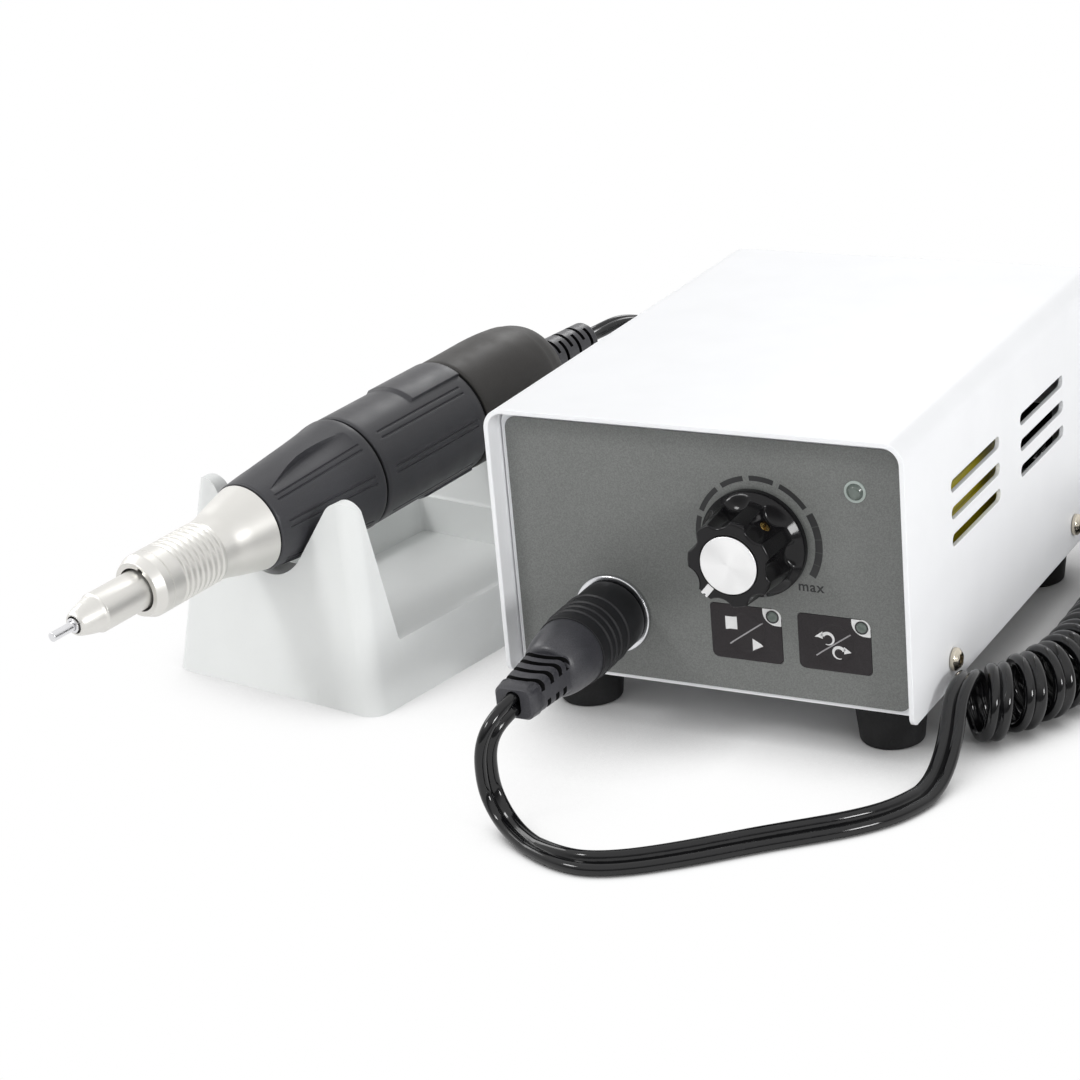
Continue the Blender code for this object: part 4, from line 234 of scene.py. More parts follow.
@dataclass(frozen=True)
class Speckled(Finish):
    """Printed film or rough rubber: fine light and dark specks lie over the drifting colour."""

    speck: float = 0.22
    contrast: float = 0.12

    def paint(self, tree: Tree, where: object) -> None:
        """Adds the specks to the plain finish."""
        super().paint(tree, where)
        low, high = self.shades()
        broad = tree.ramp(tree.noise(self.patch, where, 4), low, high)
        fine = tree.noise(self.speck, where, 2)
        factor = tree.span(fine, 0.0, 1.0, 0.35, 0.65)
        dark = tuple(c * (1 - self.contrast) for c in low)
        light = tuple(min(c * (1 + self.contrast) + 0.004, 1) for c in high)
        grainy = tree.mix(factor, dark, light)
        tree.set(Base_Color=tree.mix(0.55, broad, grainy))


@dataclass(frozen=True)
class Turned(Finish):
    """Turned or spun metal: fine rings round the axis stretch every highlight across them."""

    ring: float = 0.12
    ring_depth: float = 0.002
    stretch: float = 0.6

    def paint(self, tree: Tree, where: object) -> None:
        """Adds rings along the second coordinate of the piece's own map."""
        super().paint(tree, where)
        lie = tree.add("ShaderNodeUVMap", uv_map="UVMap").outputs[0]
        along = tree.add("ShaderNodeSeparateXYZ", {"Vector": lie}).outputs[1]
        rings = tree.add("ShaderNodeTexNoise", {"W": along, "Scale": 1 / self.ring, "Detail": 3.0},
                         noise_dimensions="1D").outputs[0]
        spots = tree.noise(self.patch / 3, where, 4)
        low, high = max(self.roughness - self.spread, 0.03), self.roughness + self.spread
        both = tree.add("ShaderNodeMath", {0: rings, 1: spots}, operation="MULTIPLY_ADD")
        both.inputs[2].default_value = 0.15
        tree.set(Roughness=tree.span(both.outputs[0], low, high, 0.2, 0.6))
        tree.set(Normal=tree.bump(rings, self.ring_depth), Anisotropic=self.stretch)
        tree.set(Tangent=tree.add("ShaderNodeTangent", direction_type="UV_MAP", uv_map="UVMap").outputs[0])


@dataclass(frozen=True)
class Layered(Finish):
    """Stacked sheets or wound turns: thin lines along one axis of the model."""

    axis: int = 2
    layer: float = 0.5
    line: float = 0.45

    def paint(self, tree: Tree, where: object) -> None:
        """Darkens and sinks a line between every two layers."""
        super().paint(tree, where)
        axes = tree.add("ShaderNodeSeparateXYZ", {"Vector": where}).outputs[self.axis]
        wave = tree.add("ShaderNodeMath", {0: axes, 1: 1 / (self.layer * MM)}, operation="MULTIPLY").outputs[0]
        saw = tree.add("ShaderNodeMath", {0: wave, 1: 1.0}, operation="PINGPONG").outputs[0]
        edge = tree.span(saw, 0.0, 1.0, 0.02, 0.22)
        low, high = self.shades()
        body = tree.ramp(tree.noise(self.patch, where, 5), low, high)
        dark = tuple(c * self.line for c in low)
        tree.set(Base_Color=tree.mix(edge, dark, body), Normal=tree.bump(edge, 0.06))


@dataclass(frozen=True)
class Jacket(Finish):
    """Glossy jacket of a cord: faint streaks and soft waves run along it."""

    def paint(self, tree: Tree, where: object) -> None:
        """Adds the streaks on the cord's own map."""
        super().paint(tree, where)
        lie = tree.add("ShaderNodeUVMap", uv_map="UVMap").outputs[0]
        streaks = tree.noise(1.0, lie, 4, (0.02, 0.0004, 1.0))
        tree.set(Roughness=tree.span(streaks, self.roughness - self.spread, self.roughness + self.spread))
        soft = tree.bump(tree.noise(4.0, where, 2), 0.05)
        tree.set(Normal=tree.bump(streaks, self.relief, soft))


PAINT = Finish("white_powder_coat", "white_paint", (244, 245, 247), 0.40, drift=0.012, grain=0.7, relief=0.006)
FILM = Speckled("grey_label_film", "grey_label", (112, 114, 112), 0.44, drift=0.05, patch=30, grain=0.25,
                relief=0.006, speck=0.28, contrast=0.22)
KEY_FILM = Speckled("dark_key_film", "key_film", (42, 38, 40), 0.48, drift=0.06, grain=0.3, relief=0.006,
                    contrast=0.16, specular=0.3)
DARK_INK = Finish("dark_print", "key_film", (40, 40, 41), 0.5, grain=0.3, relief=0.003)
FAINT_INK = Finish("faint_print", "grey_label", (62, 64, 63), 0.5, grain=0.3, relief=0.003)
PALE_INK = Finish("pale_print", "white_paint", (160, 158, 160), 0.5, drift=0.02, grain=0.3, relief=0.004)
WHITE_INK = Finish("white_print", "white_paint", (232, 232, 232), 0.5, drift=0.02, grain=0.3, relief=0.004)
LENS = Finish("green_grey_lens", "lens", (94, 104, 98), 0.16, drift=0.10, patch=1.2, coat=0.6, relief=0.002)
LENS_RIM = Finish("lens_rim", "lens", (170, 180, 175), 0.3, drift=0.04, relief=0.002)
GLOSS_BLACK = Finish("glossy_black_plastic", "black_plastic", (14, 13, 15), 0.12, drift=0.12, spread=0.04,
                     grain=0.8, relief=0.003, specular=0.3)
SATIN_BLACK = Speckled("satin_black_plastic", "black_plastic", (21, 21, 24), 0.46, drift=0.10, grain=0.35,
                       relief=0.014, contrast=0.3, specular=0.36)
DOME_BLACK = Speckled("moulded_black_vinyl", "soft_black", (50, 50, 55), 0.38, drift=0.14, patch=5, grain=0.4,
                      relief=0.024, contrast=0.4, specular=0.6)
CHARCOAL = Speckled("charcoal_plastic", "soft_black", (49, 49, 53), 0.42, drift=0.06, grain=0.3,
                    relief=0.008, contrast=0.14, specular=0.5)
CAP_CHARCOAL = Speckled("rear_cap_plastic", "soft_black", (50, 48, 46), 0.48, drift=0.06, grain=0.3,
                        relief=0.010, contrast=0.14, specular=0.35)
# Near-black with little shine, given to the walls of cut slots and to the rings in the handpiece's joints: painted
# shade.
SHADE_BLACK = Finish("painted_shade_black", "rubber", (6, 6, 7), 0.7, relief=0.003, specular=0.15)
RUBBER = Speckled("foot_rubber", "rubber", (22, 22, 23), 0.66, drift=0.10, grain=0.4, relief=0.02, contrast=0.2,
                  specular=0.3)
CAP_METAL = Turned("spun_aluminium_cap", "spun_aluminium", (252, 252, 252), 0.36, 1.0, drift=0.02, ring=0.05,
                   ring_depth=0.0006, stretch=0.75, spread=0.04)
RING_METAL = Turned("bright_ring", "spun_aluminium", (222, 223, 226), 0.2, 1.0, drift=0.03, ring=0.1,
                    ring_depth=0.001, stretch=0.4)
NICKEL = Turned("satin_nickel", "satin_nickel", (248, 243, 234), 0.32, 1.0, drift=0.03, ring=0.09,
                ring_depth=0.0016, stretch=0.55, spread=0.06)
STEEL = Turned("bright_steel", "steel", (228, 228, 230), 0.22, 1.0, drift=0.04, ring=0.08, ring_depth=0.001)
PLAIN_STEEL = Finish("plain_steel", "steel", (176, 176, 178), 0.3, 1.0, drift=0.06, relief=0.002)
SCREW_METAL = Turned("plated_screw", "steel", (214, 206, 190), 0.2, 1.0, drift=0.05, ring=0.1, ring_depth=0.001,
                     stretch=0.3)
BRASS = Turned("brass_screw", "brass", (238, 200, 118), 0.24, 1.0, drift=0.08, ring=0.1, ring_depth=0.001)
STAND_WHITE = Finish("stand_white_plastic", "stand_plastic", (232, 234, 233), 0.52, drift=0.012, grain=0.5,
                     relief=0.008)
CORD_BLACK = Jacket("black_cord_jacket", "cable", (11, 11, 13), 0.11, drift=0.10, patch=6, spread=0.06,
                    relief=0.008)
BOARD_GREEN = Finish("board_green", "board", (38, 92, 56), 0.4, drift=0.16, patch=7, grain=0.8, relief=0.02)
LAMINATION = Layered("stacked_iron", "core_iron", (92, 92, 95), 0.5, 0.7, drift=0.10, axis=0, layer=0.5)
TAPE = Layered("yellow_winding_tape", "winding_tape", (200, 188, 34), 0.42, drift=0.08, axis=2, layer=4.0,
               line=0.6)
SINK_METAL = Finish("brushed_sink", "spun_aluminium", (188, 190, 194), 0.36, 1.0, drift=0.05, relief=0.004)
COPPER = Finish("commutator_copper", "copper", (190, 116, 72), 0.32, 1.0, drift=0.12, patch=3)
CARBON = Finish("brush_carbon", "carbon", (38, 38, 39), 0.7, drift=0.15, patch=2, relief=0.02)
MAGNET = Finish("sintered_magnet", "magnet", (84, 84, 87), 0.5, 0.6, drift=0.15, patch=4, relief=0.03)


def unit(vectors: Array) -> Array:
    """Vectors of length one along the last axis."""
    return vectors / np.linalg.norm(vectors, axis=-1, keepdims=True)


def fillet(corners: Sequence[tuple], steps: int = 6, closed: bool = False, hold: float = 0.0) -> Array:
    """Line through corners (x, y, radius), each corner with a radius rounded by an arc.

    The arc touches both sides at radius / tan(half the corner's angle). Its points turn evenly from
    one touching point to the other about the arc's middle.

    Args:
        corners: The corners, with the radius of each.
        steps: Steps of each arc.
        closed: Whether the last corner joins the first.
        hold: Distance of one more point outside each end of an arc, which keeps the flats flat.

    Returns:
        The points, (n, 2).
    """
    points = []
    count = len(corners)
    for i, (x, y, radius) in enumerate(corners):
        here = np.array((x, y), float)
        if radius <= 0 or (not closed and i in (0, count - 1)):
            points.append(here)
            continue
        before = np.array(corners[i - 1][:2], float) - here
        after = np.array(corners[(i + 1) % count][:2], float) - here
        a, b = unit(before), unit(after)
        angle = math.acos(float(np.clip(a @ b, -1, 1)))
        reach = radius / math.tan(angle / 2)
        centre = here + unit(a + b) * radius / math.sin(angle / 2)
        first, last = here + a * reach - centre, here + b * reach - centre
        sweep = math.pi - angle
        share = np.linspace(0, 1, steps + 1)[:, None]
        turn = (np.sin((1 - share) * sweep) * first + np.sin(share * sweep) * last) / math.sin(sweep)
        if hold:
            points.append(here + a * (reach + hold))
        points.extend(centre + turn)
        if hold:
            points.append(here + b * (reach + hold))
    return np.array(points)


def lathe(corners: Sequence[tuple], steps: int = 5, hold: float = 0.08) -> Array:
    """Profile (radius, height) of a turned piece, with rounded corners that keep the flats flat."""
    return fillet(corners, steps, hold=hold)


def rings(profile: Array, angles: Array | int = 96, radius_at: Optional[Shape] = None) -> Array:
    """Grid of a turned surface: a profile's radius and height carried round the axis.

    A point is (radius * cos angle, radius * sin angle, height).

    Args:
        profile: Radius and height, (n, 2).
        angles: How many columns, or their angles, (m) or (n, m).
        radius_at: Changes the radius, given angle, radius and height.

    Returns:
        Points (n, m, 3).
    """
    if isinstance(angles, int):
        angles = np.arange(angles) * 2 * math.pi / angles
    angle = np.broadcast_to(angles, (len(profile), np.shape(angles)[-1]))
    radius = np.broadcast_to(profile[:, :1], angle.shape)
    height = np.broadcast_to(profile[:, 1:], angle.shape)
    if radius_at:
        radius = radius_at(angle, radius, height)
    return np.stack([radius * np.cos(angle), radius * np.sin(angle), height], -1)


def flat(outline: Array, height: float) -> Array:
    """Outline (n, 2) lifted to a height, (n, 3)."""
    return np.column_stack([outline, np.full(len(outline), height)])


def oblong(width: float, height: float, radius: float, centre: tuple = (0, 0), steps: int = 6) -> Array:
    """Outline of a rectangle with rounded corners."""
    x, y = centre
    a, b = width / 2, height / 2
    signs = ((1, 1), (-1, 1), (-1, -1), (1, -1))
    return fillet([(x + u * a, y + v * b, radius) for u, v in signs], steps, True)


def disc(radius: float, centre: tuple = (0, 0), columns: int = 48) -> Array:
    """Outline of a circle."""
    angle = np.arange(columns) * 2 * math.pi / columns
    return np.column_stack([centre[0] + radius * np.cos(angle), centre[1] + radius * np.sin(angle)])


def band(centre: tuple, low: float, high: float, start: float, end: float, steps: int = 24) -> Array:
    """Outline of a piece of a ring; its angles run clockwise from up, in degrees."""
    angle = np.radians(np.linspace(start, end, steps))
    way = np.column_stack([np.sin(angle), np.cos(angle)])
    return np.array(centre) + np.vstack([high * way, low * way[::-1]])


class Form:
    """Gathers grids and flat faces of one piece, in the millimetres of its place."""

    def __init__(self, place: Place) -> None:
        """Starts an empty piece in a place."""
        self.place = place
        self.points: list[Array] = []
        self.faces: list[list[int]] = []
        self.looks: list[int] = []
        self.lie: list[Array] = []
        self.count = 0

    def grid(self, points: Array, around: bool = False, along: bool = False, look: int = 0) -> "Form":
        """Adds the quads of a grid.

        Args:
            points: Points (rows, columns, 3).
            around: Whether the last column joins the first.
            along: Whether the last row joins the first.
            look: Which finish of the piece.

        Returns:
            The form itself.
        """
        rows, columns = points.shape[:2]
        index = self.count + np.arange(rows * columns).reshape(rows, columns)
        step = np.linalg.norm(np.diff(points, axis=0), axis=-1).mean(1)
        v = np.concatenate([[0], np.cumsum(step)])
        if around:
            index = np.column_stack([index, index[:, :1]])
        if along:
            index = np.vstack([index, index[:1]])
            v = np.append(v, v[-1] + np.linalg.norm(points[-1] - points[0], axis=-1).mean())
        u = np.linspace(0, 1, index.shape[1])
        lie = np.stack(np.meshgrid(u, v), -1)
        corners = [(slice(None, -1), slice(None, -1)), (slice(None, -1), slice(1, None)),
                   (slice(1, None), slice(1, None)), (slice(1, None), slice(None, -1))]
        quads = np.stack([index[c] for c in corners], -1).reshape(-1, 4)
        self.points.append(points.reshape(-1, 3))
        self.faces.extend(quads.tolist())
        self.lie.append(np.stack([lie[c] for c in corners], -2).reshape(-1, 2))
        self.looks.extend([look] * len(quads))
        self.count += rows * columns
        return self

    def face(self, points: Array, look: int = 0) -> "Form":
        """Adds one flat face with its own points."""
        self.points.append(points)
        self.faces.append(list(range(self.count, self.count + len(points))))
        self.lie.append(points[:, :2])
        self.looks.append(look)
        self.count += len(points)
        return self

    def tube(self, rows: Array, look: int = 0) -> "Form":
        """Adds a closed sleeve of sections with a flat face over each end."""
        self.grid(rows, around=True, look=look)
        self.face(rows[0][::-1], look)
        return self.face(rows[-1], look)

    def plate(self, outline: Array, low: float, high: float, look: int = 0) -> "Form":
        """Adds a plate of an outline between two heights."""
        return self.tube(np.stack([flat(outline, low), flat(outline, high)]), look)

    def block(self, low: tuple, high: tuple, look: int = 0) -> "Form":
        """Adds a box between two corners."""
        (x0, y0, z0), (x1, y1, z1) = low, high
        return self.plate(np.array([(x0, y0), (x1, y0), (x1, y1), (x0, y1)]), z0, z1, look)

    def solid(self, name: str, *finishes: Finish) -> bpy.types.Object:
        """Makes the object: doubles merged, faces outwards, rounded faces smooth."""
        mesh = bpy.data.meshes.new(name)
        mesh.from_pydata(self.place.put(np.vstack(self.points)).tolist(), [], self.faces)
        layer = mesh.uv_layers.new(name="UVMap")
        layer.data.foreach_set("uv", np.vstack(self.lie).ravel())
        mesh.polygons.foreach_set("material_index", self.looks)
        for finish in finishes:
            mesh.materials.append(finish.make())
        work = bmesh.new()
        work.from_mesh(mesh)
        bmesh.ops.remove_doubles(work, verts=work.verts, dist=MM / 500)
        bmesh.ops.recalc_face_normals(work, faces=work.faces)
        work.to_mesh(mesh)
        work.free()
        piece = bpy.data.objects.new(name, mesh)
        bpy.context.scene.collection.objects.link(piece)
        smooth(piece)
        return piece


def smooth(piece: bpy.types.Object, angle: float = SHARP) -> None:
    """Smooth shading, with the edges sharper than an angle kept."""
    piece.data.polygons.foreach_set("use_smooth", np.ones(len(piece.data.polygons), bool))
    piece.data.set_sharp_from_angle(angle=angle)
    piece.data.update()


def carve(piece: bpy.types.Object, tool: Form, operation: str = "DIFFERENCE",
          finish: Optional[Finish] = None) -> bpy.types.Object:
    """Cuts a piece by a form, or keeps what they share, and can give the cut faces a finish of their own."""
    other = tool.solid(piece.name + "_tool", *([finish] if finish else []))
    step = piece.modifiers.new("cut", "BOOLEAN")
    step.object, step.operation, step.solver = other, operation, "EXACT"
    step.material_mode = "TRANSFER" if finish else "INDEX"
    view = bpy.context.evaluated_depsgraph_get()
    shape = bpy.data.meshes.new_from_object(piece.evaluated_get(view))
    piece.modifiers.clear()
    old, piece.data = piece.data, shape
    bpy.data.meshes.remove(old)
    bpy.data.objects.remove(other)
    shape.name = piece.name
    smooth(piece)
    return piece


def soften(piece: bpy.types.Object, width: float, segments: int = 3, angle: float = 40) -> bpy.types.Object:
    """Rounds the sharp edges of a piece by a small bevel."""
    step = piece.modifiers.new("soft_edges", "BEVEL")
    step.width, step.segments = width * MM, segments
    step.limit_method, step.angle_limit = "ANGLE", math.radians(angle)
    step.harden_normals = True
    step.use_clamp_overlap = True
    return piece


def settle(piece: bpy.types.Object, body: str, slot: str, *nodes: str) -> bpy.types.Object:
    """Lets a piece ride on a body, hides the nodes that it stands for, and reports it."""
    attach(piece, body)
    if nodes:
        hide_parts(*nodes)
    LOG.info("%s rides on %s", piece.name, body)
    return piece


class Body(Enum):
    """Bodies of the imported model."""

    UNIT = "control_unit"
    SPEED = "speed_control"
    START = "start_stop"
    TURN = "direction"
    FUSE = "fuse_carrier"
    PLUG = "plug"
    HANDPIECE = "handpiece"
    GRIP = "chuck_grip"
    SPINDLE = "spindle"
    MANDREL = "mandrel"


@dataclass
class Studio:
    """White room with soft lamps, and the camera at the photograph's angle."""

    eye: tuple = (315.28, -562.21, 282.9)
    right: tuple = (0.8781, 0.4707, -0.0857)
    up: tuple = (-0.0997, 0.3552, 0.9295)
    back: tuple = (0.468, -0.8076, 0.3588)
    lens: float = 92.44
    world_light: float = 0.46
    front_light: float = 0.30
    front: tuple = (0.3, -0.72, 0.62)
    room: float = 0.22
    overhead: tuple = (0.22, 0.62)
    floor_half: float = 6000.0
    backdrop: tuple = (0.34, 0.62)
    contact: float = 0.035
    # Darker floor colour that the camera sees under the object: painted shade.
    painted_shadow_tone: float = 0.5

    def build(self) -> None:
        """Makes camera, world, floor and lamps."""
        self.camera()
        self.world()
        self.floor()
        self.lamp("key_lamp", (-0.75, -0.95, 1.15), 0.36, 6.0)
        self.lamp("fill_lamp", (1.3, -0.5, 0.45), 0.32, 6.5)
        self.lamp("rear_lamp", (-0.35, 1.25, 1.05), 0.45, 4.0)
        self.lamp("left_lamp", (-1.3, 0.15, 0.9), 0.6, 4.0)
        bpy.context.scene.view_settings.view_transform = "Standard"

    def camera(self) -> None:
        """Camera with its place and its three axes."""
        data = bpy.data.cameras.new("camera")
        data.lens, data.sensor_width = self.lens, 36
        data.clip_start, data.clip_end = 0.01, 50
        camera = bpy.data.objects.new("camera", data)
        bpy.context.scene.collection.objects.link(camera)
        camera.matrix_world = Matrix.Translation([c * MM for c in self.eye]) @ Matrix(
            (self.right, self.up, self.back)).transposed().to_quaternion().to_matrix().to_4x4()
        bpy.context.scene.camera = camera

    @staticmethod
    def seen(tree: bpy.types.NodeTree) -> object:
        """One where the camera, a reflection or a glass sees the surface, and nought for light."""
        path = tree.nodes.new("ShaderNodeLightPath")
        total = path.outputs["Is Camera Ray"]
        for name in ("Is Glossy Ray", "Is Transmission Ray"):
            most = tree.nodes.new("ShaderNodeMath")
            most.operation = "MAXIMUM"
            tree.links.new(total, most.inputs[0])
            tree.links.new(path.outputs[name], most.inputs[1])
            total = most.outputs[0]
        return total

    def world(self) -> None:
        """World that is white to look at and plain grey as light, with a dimmer room on the camera's side.

        Only reflections see the room: its strength falls from 1 behind and above the object to the
        room's near the horizon on the side that the camera stands on.
        """
        world = bpy.data.worlds.new("studio")
        world.use_nodes = True
        tree = world.node_tree
        light = tree.nodes["Background"]
        light.inputs[0].default_value = (1, 1, 1, 1)
        where = tree.nodes.new("ShaderNodeTexCoord").outputs["Generated"]
        front = tree.nodes.new("ShaderNodeVectorMath")
        front.operation = "DOT_PRODUCT"
        front.inputs[1].default_value = self.front
        tree.links.new(where, front.inputs[0])
        lean = tree.nodes.new("ShaderNodeMapRange")
        for name, value in (("From Min", -1.0), ("From Max", 1.0), ("To Min", self.world_light - self.front_light),
                            ("To Max", self.world_light + self.front_light)):
            lean.inputs[name].default_value = value
        tree.links.new(front.outputs["Value"], lean.inputs["Value"])
        tree.links.new(lean.outputs[0], light.inputs[1])
        look = tree.nodes.new("ShaderNodeBackground")
        look.inputs[0].default_value = (1, 1, 1, 1)
        toward = tree.nodes.new("ShaderNodeVectorMath")
        toward.operation = "DOT_PRODUCT"
        toward.inputs[1].default_value = self.back
        tree.links.new(where, toward.inputs[0])
        dim = tree.nodes.new("ShaderNodeMapRange")
        for name, value in (("From Min", -0.35), ("From Max", 0.75), ("To Min", 0.0), ("To Max", 1 - self.room)):
            dim.inputs[name].default_value = value
        tree.links.new(toward.outputs["Value"], dim.inputs["Value"])
        height = tree.nodes.new("ShaderNodeSeparateXYZ")
        tree.links.new(where, height.inputs[0])
        lower = tree.nodes.new("ShaderNodeMapRange")
        for name, value in (("From Min", self.overhead[0]), ("From Max", self.overhead[1]), ("To Min", 1.0),
                            ("To Max", 0.0)):
            lower.inputs[name].default_value = value
        tree.links.new(height.outputs[2], lower.inputs["Value"])
        aside = tree.nodes.new("ShaderNodeMath")
        aside.operation = "MULTIPLY"
        tree.links.new(dim.outputs[0], aside.inputs[0])
        tree.links.new(lower.outputs[0], aside.inputs[1])
        loss = tree.nodes.new("ShaderNodeMath")
        loss.operation = "MULTIPLY"
        tree.links.new(tree.nodes.new("ShaderNodeLightPath").outputs["Is Glossy Ray"], loss.inputs[0])
        tree.links.new(aside.outputs[0], loss.inputs[1])
        left = tree.nodes.new("ShaderNodeMath")
        left.operation = "SUBTRACT"
        left.inputs[0].default_value = 1.0
        tree.links.new(loss.outputs[0], left.inputs[1])
        tree.links.new(left.outputs[0], look.inputs[1])
        mix = tree.nodes.new("ShaderNodeMixShader")
        tree.links.new(self.seen(tree), mix.inputs[0])
        tree.links.new(light.outputs[0], mix.inputs[1])
        tree.links.new(look.outputs[0], mix.inputs[2])
        tree.links.new(mix.outputs[0], tree.nodes["World Output"].inputs[0])
        bpy.context.scene.world = world

    def floor(self) -> None:
        """Plain white floor with its real shadow and painted shade under the object, which turns into the white
        backdrop farther off.

        Where little stands close over a spot, it is as bright as the backdrop. Under the object the glow fades by
        ambient occlusion and the camera sees a darker colour than the light meets: painted shade, in the shadow's
        tone.
        """
        half = self.floor_half
        form = Form(UNIT)
        form.face(np.array([(-half, -half, 0), (half, -half, 0), (half, half, 0), (-half, half, 0)], float))
        plane = form.solid("floor")
        material = bpy.data.materials.new("floor_white")
        material.use_nodes = True
        tree = material.node_tree
        shader = tree.nodes["Principled BSDF"]
        seen = self.seen(tree)
        # Painted shade: the camera and reflections see the darker shadow tone, while light meets 0.91.
        tone = tree.nodes.new("ShaderNodeMapRange")
        tone.inputs["To Min"].default_value, tone.inputs["To Max"].default_value = 0.91, self.painted_shadow_tone
        tree.links.new(seen, tone.inputs["Value"])
        tree.links.new(tone.outputs[0], shader.inputs["Base Color"])
        shader.inputs["Roughness"].default_value = 0.9
        shader.inputs["Specular IOR Level"].default_value = 0.2
        glow = tree.nodes.new("ShaderNodeEmission")
        mix = tree.nodes.new("ShaderNodeMixShader")
        length = tree.nodes.new("ShaderNodeVectorMath")
        length.operation = "LENGTH"
        tree.links.new(tree.nodes.new("ShaderNodeTexCoord").outputs["Object"], length.inputs[0])
        away = tree.nodes.new("ShaderNodeMapRange")
        away.interpolation_type = "SMOOTHSTEP"
        for name, value in (("From Min", self.backdrop[0]), ("From Max", self.backdrop[1])):
            away.inputs[name].default_value = value
        tree.links.new(length.outputs["Value"], away.inputs["Value"])
        # Painted contact shade: the white glow fades where ambient occlusion finds things close over the floor.
        near = tree.nodes.new("ShaderNodeAmbientOcclusion")
        near.samples = 12
        near.inputs["Distance"].default_value = self.contact
        opened = tree.nodes.new("ShaderNodeMapRange")
        opened.interpolation_type = "SMOOTHSTEP"
        for name, value in (("From Min", 0.25), ("From Max", 0.86)):
            opened.inputs[name].default_value = value
        tree.links.new(near.outputs["AO"], opened.inputs["Value"])
        most = tree.nodes.new("ShaderNodeMath")
        most.operation = "MAXIMUM"
        tree.links.new(away.outputs[0], most.inputs[0])
        tree.links.new(opened.outputs[0], most.inputs[1])
        share = tree.nodes.new("ShaderNodeMath")
        share.operation = "MULTIPLY"
        tree.links.new(most.outputs[0], share.inputs[1])
        tree.links.new(seen, share.inputs[0])
        tree.links.new(share.outputs[0], mix.inputs[0])
        tree.links.new(shader.outputs[0], mix.inputs[1])
        tree.links.new(glow.outputs[0], mix.inputs[2])
        tree.links.new(mix.outputs[0], tree.nodes["Material Output"].inputs[0])
        plane.data.materials.append(material)

    @staticmethod
    def lamp(name: str, spot: tuple, size: float, power: float) -> None:
        """Square soft lamp that looks at the object."""
        data = bpy.data.lights.new(name, "AREA")
        data.size, data.energy = size, power
        lamp = bpy.data.objects.new(name, data)
        bpy.context.scene.collection.objects.link(lamp)
        spot_vector = Matrix.Translation(spot).to_translation()
        lamp.location = spot_vector
        lamp.rotation_mode = "QUATERNION"
        lamp.rotation_quaternion = spot_vector.to_track_quat("Z", "Y")


